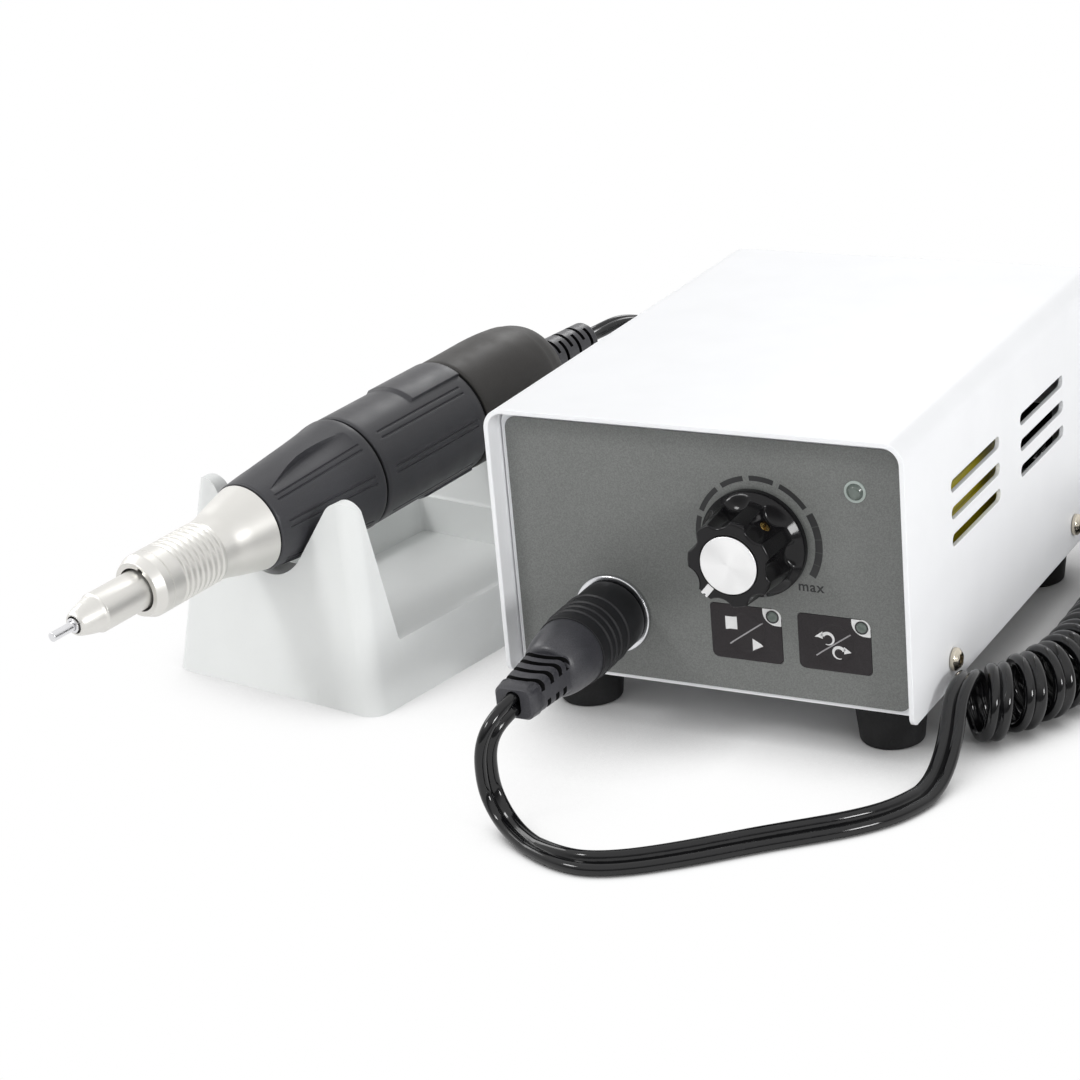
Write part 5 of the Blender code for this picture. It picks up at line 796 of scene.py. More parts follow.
@dataclass
class Cord:
    """Twin cord: two round cores side by side, from the plug along the floor and curled to the handpiece."""

    core: float = 1.45
    groove: float = 0.62
    curl_diameter: float = 17.6
    fit: float = 0.3
    turns: float = 27.25
    tube: float = 4.35
    turn_points: int = 40
    edge: float = 0.75
    lean: float = 28.5
    settle_turns: float = 3.0
    first_stretch: float = 2.0
    axis: tuple = (
        (111.9, 21.5), (114.0, 24.3), (116.1, 27.4), (119.9, 34.4), (123.1, 42.7), (125.0, 52.1), (125.3, 68.0),
        (124.6, 90.0), (123.0, 115.0), (119.0, 138.0), (110.5, 157.5), (97.5, 170.5), (81.0, 175.5), (64.0, 176.5))
    front: tuple = (
        (25.8, -51.6, 24.5), (24.3, -53.2, 19.0), (24.0, -52.8, 14.9), (23.9, -52.4, 10.1), (25.8, -52.9, 5.8),
        (29.6, -55.1, 3.0), (35.8, -59.1, 1.8), (42.2, -62.4, 1.5), (47.8, -64.5, 1.5), (52.7, -65.3, 1.5),
        (56.8, -64.6, 1.5), (63.8, -61.0, 1.5), (73.3, -53.7, 1.5), (85.7, -42.7, 1.5), (98.4, -32.2, 1.5),
        (104.4, -26.1, 1.5), (107.7, -21.5, 1.5), (110.0, -16.4, 1.7), (111.6, -11.0, 2.3), (112.3, -6.0, 3.5),
        (112.6, -1.5, 6.4), (112.4, 2.6, 9.5), (111.7, 6.7, 12.5), (110.8, 10.8, 15.4), (110.6, 15.5, 17.0),
        (110.4, 19.5, 17.3), (110.0, 23.4, 16.4), (109.5, 26.4, 13.9))
    rear: tuple = (
        (64.0, 186.0, 1.6), (56.0, 190.0, 1.5), (44.0, 189.5, 1.5), (29.0, 186.0, 3.4), (14.0, 181.5, 10.4),
        (-2.0, 176.0, 23.4), (-16.0, 168.0, 38.4), (-28.0, 157.0, 49.4), (-36.5, 146.0, 54.5))
    plug_exit: float = 47.6
    relief_exit: float = 136.9

    @staticmethod
    def through(points: Array, step: float) -> Array:
        """Smooth line through points, resampled at about equal steps.

        Each span is the cubic b + t(c-a)/2 + t^2(a-5b/2+2c-d/2) + t^3(3(b-c)+d-a)/2 of its four
        neighbouring points.
        """
        knots = np.vstack([2 * points[0] - points[1], points, 2 * points[-1] - points[-2]])
        a, b, c, d = (knots[i:len(knots) - 3 + i, None] for i in range(4))
        t = np.linspace(0, 1, 24, endpoint=False)[None, :, None]
        fine = b + t * (c - a) / 2 + t ** 2 * (a - 2.5 * b + 2 * c - d / 2) + t ** 3 * (3 * (b - c) + d - a) / 2
        return Cord.even(np.vstack([fine.reshape(-1, points.shape[1]), knots[-2]]), step)

    @staticmethod
    def even(line: Array, step: float) -> Array:
        """Line resampled at about equal steps, both ends kept."""
        reach = np.concatenate([[0], np.cumsum(np.linalg.norm(np.diff(line, axis=0), axis=1))])
        count = max(2, int(round(reach[-1] / step)) + 1)
        places = np.linspace(0, reach[-1], count)
        return np.stack([np.interp(places, reach, line[:, k]) for k in range(line.shape[1])], 1)

    def curls(self) -> tuple:
        """Middle line of the curls and the way that their flat side points at each point.

        With the axis line c(s), the curl's own direction a(s) and right = a x up, a point is
        c + R (cos q up + sin q right), where q falls evenly from a quarter turn left of the top. After
        k turns, a leans off the axis by lean * exp(-k / n), and the pitch is stretched in the same way.
        """
        line = self.through(np.array([(x, y, self.curl_diameter / 2 + self.fit) for x, y in self.axis]), 0.5)
        reach = np.concatenate([[0], np.cumsum(np.linalg.norm(np.diff(line, axis=0), axis=1))])
        count = int(self.turns * self.turn_points)
        done = np.linspace(0, self.turns, count + 1)
        fade = np.exp(-done / self.settle_turns)
        extra = self.first_stretch * self.settle_turns * (1 - fade)
        place = done * (reach[-1] - extra[-1]) / self.turns + extra
        at = [np.stack([np.interp(place + side, reach, line[:, k]) for k in range(3)], 1)
              for side in (0, self.tube, -self.tube)]
        along = unit(at[1] - at[2])
        turn = np.arctan2(along[:, 1], along[:, 0]) - np.radians(self.lean) * fade
        along = np.stack([np.cos(turn), np.sin(turn), 0 * turn], 1)
        right = np.cross(along, (0.0, 0.0, 1.0))
        turn = -math.pi / 2 - 2 * math.pi * done
        radius = self.curl_diameter / 2 - self.core
        out = np.cos(turn)[:, None] * np.array((0.0, 0.0, 1.0)) + np.sin(turn)[:, None] * right
        return at[0] + radius * out, along

    @staticmethod
    def turned(way: Array, run: Array, keys: Sequence[tuple]) -> Array:
        """Way across the cord at each point of its line.

        A direction is first carried along the line without turning about it. The cord then turns
        about its own line by an angle that eases from key to key, never more than a quarter turn.

        Args:
            way: Direction of the line at each point.
            run: Length from the start at each point.
            keys: Length and wanted direction across, or None where the angle stays as it was.

        Returns:
            Directions, (n, 3).
        """
        carried = [np.array(keys[0][1])]
        for ahead in way:
            carried.append(unit(carried[-1] - (carried[-1] @ ahead) * ahead))
        carried = np.array(carried[1:])
        side = np.cross(way, carried)
        places, angles = [], []
        for place, wanted in keys:
            i = min(int(np.searchsorted(run, place)), len(run) - 1)
            angle = angles[-1] if angles else 0.0
            if wanted is not None and angles:
                goal = np.asarray(wanted) if np.ndim(wanted) == 1 else wanted[i]
                found = math.atan2(goal @ side[i], goal @ carried[i])
                angle += (found - angle + math.pi / 2) % math.pi - math.pi / 2
            places.append(run[i])
            angles.append(angle)
        angle = np.interp(run, places, angles)
        kernel = np.hanning(17) / np.hanning(17).sum()
        angle = np.convolve(np.pad(angle, 8, "edge"), kernel, "valid")[:, None]
        return carried * np.cos(angle) + side * np.sin(angle)

    def section(self) -> Array:
        """Outline of the twin cord as (across, thick): two circles joined by a thin web."""
        angle = np.radians(np.linspace(-146, 146, 13))
        lobe = np.column_stack([self.core + self.core * np.cos(angle), self.core * np.sin(angle)])
        return np.vstack([lobe, [(0, self.groove)], -lobe, [(0, -self.groove)]])

    def sweep(self, line: Array, across: Array) -> Array:
        """Sections of the cord set up along a line, with the way across made square to it."""
        way = unit(np.gradient(line, axis=0))
        across = unit(across - (across * way).sum(1)[:, None] * way)
        thick = np.cross(way, across)
        shape = self.section()
        return line[:, None] + shape[None, :, :1] * across[:, None] + shape[None, :, 1:] * thick[:, None]

    def build(self) -> None:
        """Makes the cord from the plug to the last curl, and the lead to the handpiece."""
        inverse = np.linalg.inv(UNIT.matrix)

        def seen(place: Place, z: float) -> Array:
            """Point on the axis of a place, in the frame of the unit."""
            return (inverse @ place.matrix @ np.array((0, 0, z, 1.0)))[:3]

        curls, curl_across = self.curls()
        start, start_way = seen(PLUG, self.plug_exit), unit(seen(PLUG, 1.0) - seen(PLUG, 0.0))
        route = np.vstack([start, start + start_way * 2.4, np.array(self.front), curls[0]])
        front = self.through(route, 0.9)
        for _ in range(6):
            front[2:-2] = (front[:-4] + 2 * front[1:-3] + 3 * front[2:-2] + 2 * front[3:-1] + front[4:]) / 9
        run = np.concatenate([[0], np.cumsum(np.linalg.norm(np.diff(front, axis=0), axis=1))])
        way = unit(np.gradient(front, axis=0))
        flat_way = unit(np.cross(way, (0.0, 0.0, 1.0)))
        tilted = flat_way * math.cos(self.edge) - np.array((0.0, 0.0, 1.0)) * math.sin(self.edge)
        keys = [(0.0, (0.0, 0.0, 1.0)), (40.0, None), (62.0, tilted), (run[-1] - 72.0, tilted),
                (run[-1] - 34.0, (0.88, 0.47, 0.0)), (run[-1], curl_across[0])]
        across = self.turned(way, run, keys)
        low = self.core * (1 + np.abs(across[:, 2])) + 0.03
        front[:, 2] = np.maximum(front[:, 2], low)
        line = np.vstack([front[:-1], curls])
        ways = np.vstack([across[:-1], curl_across])
        self.make("curly_cord", line, ways, "plug", ("cord_front", "cord_curly"), ("plug", "control_unit"),
                  ((27, -45, 24), (40, -45, 10)), line[-1])
        tail = seen(HANDPIECE, self.relief_exit)
        back = unit(seen(HANDPIECE, 1.0) - seen(HANDPIECE, 0.0))
        last_way = unit(curls[-1] - curls[-2])
        route = np.vstack([curls[-1], curls[-1] + last_way * 3.5, np.array(self.rear), tail + back * 7, tail])
        rear = self.through(route, 0.9)
        way = unit(np.gradient(rear, axis=0))
        across = unit(np.cross((0.0, 0.0, 1.0), way))
        share = np.clip(1 - np.arange(len(rear)) / 16, 0, 1)[:, None]
        near = curl_across[-1] * np.sign((curl_across[-1] * across[0]).sum())
        across = (1 - share) * across + share * near
        self.make("handpiece_lead", rear, across, "object", ("cord_rear",), ("control_unit", "handpiece"),
                  ((50, 190, 2), (-30, 155, 50)), rear[-1])

    def make(self, name: str, line: Array, across: Array, far_end: str, nodes: tuple, bodies: tuple,
             span: tuple, leaves: Array) -> None:
        """Args:
            name: Name of the piece.
            line: Its middle line in the frame of the unit.
            across: The way across its flat side at each point.
            far_end: What its far end carries; not used.
            nodes: The nodes that it stands for.
            bodies: The two bodies that it runs between; not used.
            span: Two places along it, near the first and the second body; not used.
            leaves: The point where it leaves what it comes out of; not used.
        """
        piece = Form(UNIT).tube(self.sweep(line, across)).solid(name, CORD_BLACK)
        smooth(piece, math.radians(70))
        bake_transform(piece)
        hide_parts(*nodes)


@dataclass
class Housing:
    """Sheet cover with its vents, feet and cover screws."""

    width: float = 105.0
    depth: float = 138.8
    height: float = 67.7
    sheet: float = 1.2
    bend: float = 5.1
    corner: float = 2.5
    vent_rows: int = 3
    vent_height: float = 3.0
    vent_pitch: float = 6.6
    vent_drop: float = 20.0
    vents: tuple = ((28.0, 32.6), (75.4, 32.1))
    screw_rise: float = 6.4
    screw_setbacks: tuple = (("front", 25.4), ("rear", 114.3))
    feet: tuple = (("front_left", (12.9, 18.4)), ("front_right", (92.1, 18.4)),
                   ("rear_left", (12.9, 120.4)), ("rear_right", (92.1, 120.4)))

    def build(self) -> None:
        """Makes every piece of the housing."""
        self.cover()
        self.feet_and_screws()

    def cover(self) -> None:
        """Bent sheet: an outer and an inner path carried from front to back, then cut by the vents."""
        w, h, t = self.width, self.height, self.sheet
        outer = fillet([(0, 0, 0), (0, h, self.bend), (w, h, self.bend), (w, 0, 0)], 12)
        inner = fillet([(t, 0, 0), (t, h - t, self.bend - t), (w - t, h - t, self.bend - t), (w - t, 0, 0)], 12)
        rows = [np.insert(path, 1, y, axis=1) for path, y in ((outer, 0), (outer, self.depth), (inner, self.depth),
                                                             (inner, 0))]
        rows = np.stack(rows)
        form = Form(SHELL).grid(rows, along=True)
        form.face(rows[:, 0]).face(rows[:, -1])
        cover = form.solid("sheet_cover", PAINT)
        tool = Form(SIDE)
        for x, way in ((0.0, 1), (self.depth, -1)):
            r, over = self.corner, 1.0
            angle = np.radians(np.linspace(180, 270, 9))
            curve = np.column_stack([x + way * (r + r * np.cos(angle)), r + r * np.sin(angle)])
            rest = [(x + way * r, -over), (x - way * over, -over), (x - way * over, r)]
            tool.plate(np.vstack([curve, rest]), -5, w + 5)
        for setback, length in self.vents:
            for row in range(self.vent_rows):
                centre = (setback + length / 2, h - self.vent_drop - row * self.vent_pitch)
                slot = oblong(length, self.vent_height, self.vent_height / 2 - 0.01, centre, 8)
                tool.plate(slot, -5, w + 5)
        soften(carve(cover, tool), 0.28)
        settle(cover, Body.UNIT.value, PAINT.slot, "cover")

    def feet_and_screws(self) -> None:
        """Rubber feet under the tray, and pan head screws with a cross recess in each side."""
        profile = lathe([(0, -12.3, 0), (7.6, -12.3, 0.9), (8.9, -0.3, 0.3), (2.0, -0.3, 0), (2.0, 1.5, 0),
                         (0, 1.5, 0)])
        for name, (x, y) in self.feet:
            foot = Form(SHELL.moved(x, y)).grid(rings(profile, 72), around=True)
            foot = foot.solid("rubber_foot_" + name, RUBBER)
            settle(foot, Body.UNIT.value, RUBBER.slot, "foot_" + name)
        head = lathe([(0, -3, 0), (1.3, -3, 0), (1.3, 0.3, 0), (2.8, 0.3, 0), (2.8, 1.1, 0.5), (1.7, 2.15, 1.2),
                      (0, 2.2, 0)])
        arm = oblong(3.5, 0.9, 0.3, steps=3)
        for end, setback in self.screw_setbacks:
            for side, x, turn in (("left", 0.0, -90), ("right", self.width, 90)):
                place = SHELL.moved(x, setback, self.screw_rise).turned("Y", turn).turned("Z", 24 if x else 61)
                screw = Form(place).grid(rings(head, 64), around=True)
                screw = screw.solid(f"pan_head_screw_{end}_{side}", SCREW_METAL)
                carve(screw, Form(place).plate(arm, 1.05, 3))
                carve(screw, Form(place).plate(arm[:, ::-1] * (1, -1), 1.05, 3))
                settle(screw, Body.UNIT.value, SCREW_METAL.slot, f"cover_screw_{end}_{side}")


@dataclass
class FrontPanel:
    """Printed label with its dial, the two film keys with their lamps, and the power lamp."""

    label_low: tuple = (2.7, 1.1)
    label_high: tuple = (102.3, 64.2)
    label_corner: float = 3.0
    dial: tuple = (66.6, 39.6)
    thin_bands: tuple = ((-120, -73), (-67, -40), (-34, -11), (-5, 18), (24, 54))
    key_size: tuple = (17.8, 13.6)
    key_row: float = 15.9
    keys: tuple = (62.35, 84.35)
    key_front: float = 0.07
    dish: tuple = (4.35, 5.0)
    dish_depth: float = 0.4
    power_lamp: tuple = (91.1, 53.7)
    ink: float = 0.03

    def build(self) -> None:
        """Makes every piece of the front panel."""
        self.label()
        self.dial_print()
        self.key("start_key", self.keys[0], Body.START, self.start_marks, "start_stop_key", "start_lamp")
        self.key("direction_key_film", self.keys[1], Body.TURN, self.direction_marks, "direction_key",
                 "direction_lamp")
        self.lamp()

    def label(self) -> None:
        """Label plate with its openings."""
        (x0, y0), (x1, y1) = self.label_low, self.label_high
        centre = ((x0 + x1) / 2, (y0 + y1) / 2)
        form = Form(PANEL).plate(oblong(x1 - x0, y1 - y0, self.label_corner, centre, 10), -0.4, 0)
        label = form.solid("panel_label", FILM)
        tool = Form(PANEL).plate(disc(4.9, (66.3, 39.3)), -1, 1).plate(disc(7.9, (27.8, 16.8)), -1, 1)
        tool.plate(disc(2.3, self.power_lamp), -1, 1)
        for x in self.keys:
            tool.plate(self.key_outline((x, self.key_row), 0.07), -1, 1)
        soften(carve(label, tool), 0.08, 2)
        settle(label, Body.UNIT.value, FILM.slot, "front_label")

    def dial_print(self) -> None:
        """Dark bands round the knob, the last one thicker and divided, and the word at its end."""
        form = Form(PANEL)
        for start, end in self.thin_bands:
            form.plate(band(self.dial, 14.3, 15.55, start, end), 0, self.ink)
        for i in range(5):
            form.plate(band(self.dial, 14.2, 16.0, 60.4 + 12 * i, 71.6 + 12 * i, 8), 0, self.ink)
        form.plate(band(self.dial, 14.2, 16.0, 60.0, 120.0), 0, self.ink / 2, 1)
        settle(form.solid("dial_bands", DARK_INK, FAINT_INK), Body.UNIT.value, DARK_INK.slot)
        data = bpy.data.curves.new("max_word", "FONT")
        data.body, data.size, data.extrude = "max", 3.5 * MM, self.ink / 2 * MM
        data.space_character, data.offset = 1.12, 0.06 * MM
        letters = bpy.data.objects.new("max_word_curve", data)
        bpy.context.scene.collection.objects.link(letters)
        mesh = bpy.data.meshes.new_from_object(letters)
        place = PANEL.moved(76.0, 28.3, self.ink / 2).matrix.copy()
        place[:3, 3] *= MM
        mesh.transform(Matrix(place.tolist()))
        bpy.data.objects.remove(letters)
        word = bpy.data.objects.new("max_word", mesh)
        bpy.context.scene.collection.objects.link(word)
        mesh.materials.clear()
        mesh.materials.append(DARK_INK.make())
        settle(word, Body.UNIT.value, DARK_INK.slot)

    def key_outline(self, centre: tuple = (0, 0), grow: float = 0.0) -> Array:
        """Outline of a key, whose corner at the window is the roundest."""
        x, y = centre
        a, b = self.key_size[0] / 2 + grow, self.key_size[1] / 2 + grow
        return fillet([(x + a, y + b, 2.2 + grow), (x - a, y + b, 1.0), (x - a, y - b, 1.5), (x + a, y - b, 1.2)],
                      8, True)

    def on_key(self, points: Array, lift: float) -> Array:
        """Points (..., 2) on the front of a key: a flat rim, a sloping wall and the floor of a round dish."""
        out = np.linalg.norm(points, axis=-1)
        height = np.interp(out, self.dish, (self.key_front - self.dish_depth, self.key_front))
        return np.concatenate([points, (height + lift)[..., None]], -1)

    def patch(self, form: Form, first: Array, second: Array, look: int = 0, columns: int = 20) -> None:
        """Adds print that fills the space between two lines and follows the front of the key."""
        share = np.linspace(0, 1, columns)[None, :, None]
        top = self.on_key(first[:, None] * (1 - share) + second[:, None] * share, self.ink)
        under = [np.column_stack([line, np.full(len(line), -1.0)]) for line in (second, first)]
        form.tube(np.concatenate([top, np.stack(under, 1)], 1), look)

    def line(self, form: Form, start: tuple, end: tuple) -> None:
        """Adds the thin dividing line of a key."""
        share = np.linspace(0, 1, 30)[:, None]
        middle = np.array(start) * (1 - share) + np.array(end) * share
        side = unit(np.array((start[1] - end[1], end[0] - start[0]))) * 0.16
        self.patch(form, middle + side, middle - side, 1, 2)

    def start_marks(self, form: Form) -> None:
        """Adds a square, the dividing line and a triangle."""
        rows = np.linspace(3.75, 0.5, 26)
        self.patch(form, np.column_stack([0 * rows - 5.25, rows]), np.column_stack([0 * rows - 2.5, rows]))
        self.line(form, (-4.35, -3.1), (4.25, 3.0))
        across = np.linspace(1.2, 3.95, 24)
        half = np.interp(across, (1.2, 3.95), (1.5, 0.03))
        self.patch(form, np.column_stack([across, half - 2.9]), np.column_stack([across, -half - 2.9]))

    def direction_marks(self, form: Form) -> None:
        """Adds the dividing line and two arrows that bend over from left and right."""
        self.line(form, (-4.7, -3.3), (4.0, 2.75))
        angle = np.radians(np.linspace(-64, 204, 36))
        half = np.interp(np.linspace(0, 1, 36), (0, 0.4, 1), (0.42, 0.36, 0.07))[:, None]
        way = np.column_stack([np.sin(angle), np.cos(angle)])
        across = np.linspace(-3.0, -1.25, 16)
        rise = np.interp(across, (-3.0, -1.25), (0.50, 1.75))
        fall = np.interp(across, (-3.0, -1.25), (0.44, -0.10))
        for centre, mirror in (((-1.85, 0.9), 1), ((0.8, -2.3), -1)):
            for first, second in (((1.42 + half) * way, (1.42 - half) * way),
                                  (np.column_stack([across, rise]), np.column_stack([across, fall]))):
                middle = np.array(centre)
                self.patch(form, middle + first * (mirror, 1), middle + second * (mirror, 1))

    def key(self, name: str, x: float, body: Body, marks: Callable, node: str, lamp: str) -> None:
        """Film key with a shallow dish, its white marks and the round window in its corner."""
        place = PANEL.moved(x, self.key_row)
        a, b = self.key_size[0] / 2, self.key_size[1] / 2
        key = Form(place).plate(self.key_outline(), -1.6, self.key_front).solid(name, KEY_FILM)
        low, high = self.dish
        bowl = lathe([(0, self.key_front - self.dish_depth, 0), (low, self.key_front - self.dish_depth, 0.8),
                      (high, self.key_front, 0), (high + 1.8, self.key_front + 0.5, 0), (0, self.key_front + 0.5, 0)])
        carve(key, Form(place).grid(rings(bowl, 72), around=True))
        settle(key, body.value, KEY_FILM.slot, node)
        print_form = Form(place)
        marks(print_form)
        spot = (a - 2.12, b - 1.88)
        leaf = fillet([(-2.45, 1.88, 0.1), (2.12, 1.88, 2.0), (2.12, -2.2, 0.1), (-2.45, -2.2, 3.3)], 10, True)
        print_form.plate(leaf + np.array(spot), -0.3, self.key_front + self.ink)
        settle(print_form.solid(name + "_print", WHITE_INK, PALE_INK), body.value, WHITE_INK.slot)
        rim = lathe([(1.3, 0.02, 0), (1.62, 0.02, 0), (1.62, 0.24, 0.08), (1.3, 0.24, 0)], 3)
        window = Form(place.moved(*spot)).grid(rings(rim, 48), around=True, along=True, look=1)
        glass = lathe([(0, 0.36, 0), (0.9, 0.32, 0.5), (1.31, 0.16, 0), (1.31, -1.0, 0), (0, -1.0, 0)])
        window.grid(rings(glass, 48), around=True)
        settle(window.solid(name + "_window", LENS, DARK_INK), Body.UNIT.value, LENS.slot, lamp)

    def lamp(self) -> None:
        """Domed power lamp with a pale ring."""
        place = PANEL.moved(*self.power_lamp)
        dome = lathe([(0, 1.25, 0), (1.3, 1.1, 0.8), (2.0, 0.3, 0.3), (2.0, -2, 0), (0, -2, 0)])
        form = Form(place).grid(rings(dome, 64), around=True)
        rim = lathe([(2.02, -0.1, 0), (2.62, -0.1, 0), (2.62, 0.22, 0.1), (2.02, 0.26, 0.1)], 3)
        form.grid(rings(rim, 64), around=True, along=True, look=1)
        settle(form.solid("power_lens", LENS, LENS_RIM), Body.UNIT.value, LENS.slot, "power_lamp")


@dataclass
class SpeedKnob:
    """Black knob with seven scallops, its spun cap, white pointer and brass set screw."""

    place: Place = PANEL.moved(66.3, 39.3, 0.4)
    flutes: int = 7
    screw_angle: float = 50.0
    scallop_centre: float = 12.9
    scallop_radius: float = 4.05
    scallop_top: float = 4.9
    scallop_run: float = 2.7
    scallop_out: float = 5.0
    blend: float = 0.10
    crown: float = 10.3
    edge: float = 0.55
    length: float = 15.1
    well: float = 1.1
    cap: float = 6.95
    cap_gap: float = 0.3
    cap_height: float = 1.2

    def radius(self, angle: Array, lobe: Array, height: Array) -> Array:
        """Radius of the fluted side: the lesser of the lobe and the scallop, blended smoothly.

        A scallop is a circle beside the knob, so at an angle d from its middle its radius is
        C cos d - sqrt(p^2 - C^2 sin^2 d). Low on the knob it runs out over the shoulder.

        Args:
            angle: Angle round the knob.
            lobe: Radius between the scallops.
            height: Height above the foot of the knob.

        Returns:
            The radius.
        """
        sector = 2 * math.pi / self.flutes
        d = (angle - math.radians(self.screw_angle) + sector / 2) % sector - sector / 2
        c, p = self.scallop_centre, self.scallop_radius
        reach = np.maximum(p ** 2 - (c * np.sin(d)) ** 2, 0)
        scallop = np.where(reach > 0, c * np.cos(d) - np.sqrt(reach), c)
        fade = np.clip((self.scallop_top - height) / self.scallop_run, 0, 1)
        scallop = scallop + self.scallop_out * fade ** 2
        soft = self.blend
        least = np.minimum(lobe, scallop)
        return least - soft * np.log(np.exp(-(lobe - least) / soft) + np.exp(-(scallop - least) / soft))

    def columns(self) -> Array:
        """Angles of the columns, close together where scallop and lobe meet."""
        half = 180 / self.flutes
        part = np.concatenate([np.linspace(0, 13.6, 12), np.linspace(14.2, 17.0, 9), np.linspace(17.9, half, 8)])
        sector = np.concatenate([-part[:0:-1], part[:-1]])
        middles = self.screw_angle + np.arange(self.flutes) * 2 * half
        return np.radians((middles[:, None] + sector).ravel())

    def build(self) -> None:
        """Makes every piece of the knob."""
        side = [(0.0, 12.5, 0), (0.0, 12.9, 0), (0.25, 12.9, 0), (1.9, 12.9, 0), (2.1, 12.85, 0),
                (2.25, 12.7, 0)]
        side += [(h, 12.7 - (h - 2.25) * 0.82, 0) for h in np.linspace(2.5, 4.0, 6)]
        side += [(h, 11.15 - (h - 4.2) * 0.078, 0) for h in np.linspace(4.3, self.length - 0.75, 14)]
        edge, turns = self.edge, np.radians(np.linspace(0, 90, 7))
        side += [(self.length - edge + edge * math.sin(a), self.crown, edge - edge * math.cos(a))
                 for a in turns]
        height, lobe, inset = np.array(side).T
        angle = self.columns()[None]
        radius = self.radius(angle, lobe[:, None] + 0 * angle, height[:, None] + 0 * angle) - inset[:, None]
        radius[:3] = np.array([12.5, 12.7, 12.9])[:, None]
        ring = self.cap + self.cap_gap
        share = np.linspace(0.06, 1, 9)[:, None]
        face = radius[-1:] + (ring - radius[-1:]) * share
        depth = np.array([self.length] * 9)
        inner = np.array([(ring, self.length - self.well), (0, self.length - self.well)])
        radius = np.vstack([radius, face, inner[:, :1] + 0 * angle])
        height = np.concatenate([height, depth, inner[:, 1]])
        points = np.stack([radius * np.cos(angle), radius * np.sin(angle), height[:, None] + 0 * angle], -1)
        form = Form(self.place).grid(points, around=True)
        form.face(points[0])
        knob = form.solid("fluted_knob", GLOSS_BLACK)
        turn = self.place.moved(0, 0, 6.6).turned("Z", self.screw_angle).turned("Y", 90)
        carve(knob, Form(turn).plate(disc(1.5, columns=32), 6.6, 14))
        smooth(knob, math.radians(34))
        settle(knob, Body.SPEED.value, GLOSS_BLACK.slot, "speed_knob")
        top = self.length + 0.3
        low = top - self.cap_height
        profile = lathe([(0, low, 0), (self.cap, low, 0), (self.cap, top, 0.22), (0, top, 0)])
        cap = Form(self.place).grid(rings(profile, 128), around=True).solid("knob_face", CAP_METAL)
        settle(cap, Body.SPEED.value, CAP_METAL.slot, "knob_cap")
        head = lathe([(0, 6.4, 0), (1.35, 6.4, 0), (1.35, 8.75, 0.2), (0, 8.75, 0)], 3)
        screw = Form(turn).grid(rings(head, 40), around=True).solid("slotted_set_screw", BRASS)
        carve(screw, Form(turn.turned("Z", 20)).block((-2, -0.25, 8.15), (2, 0.25, 9.5)))
        settle(screw, Body.SPEED.value, BRASS.slot, "knob_set_screw")
        bar = np.array([(7.25, -0.9), (10.25, -0.9), (10.25, -0.3), (9.85, -0.2), (9.85, 0.25), (10.25, 0.35),
                        (10.25, 0.9), (7.25, 0.9)])
        pointer = Form(self.place.turned("Z", self.screw_angle + 180))
        pointer.plate(bar, self.length - 0.5, self.length + 0.08)
        settle(soften(pointer.solid("white_pointer", WHITE_INK), 0.08, 2), Body.SPEED.value, WHITE_INK.slot)


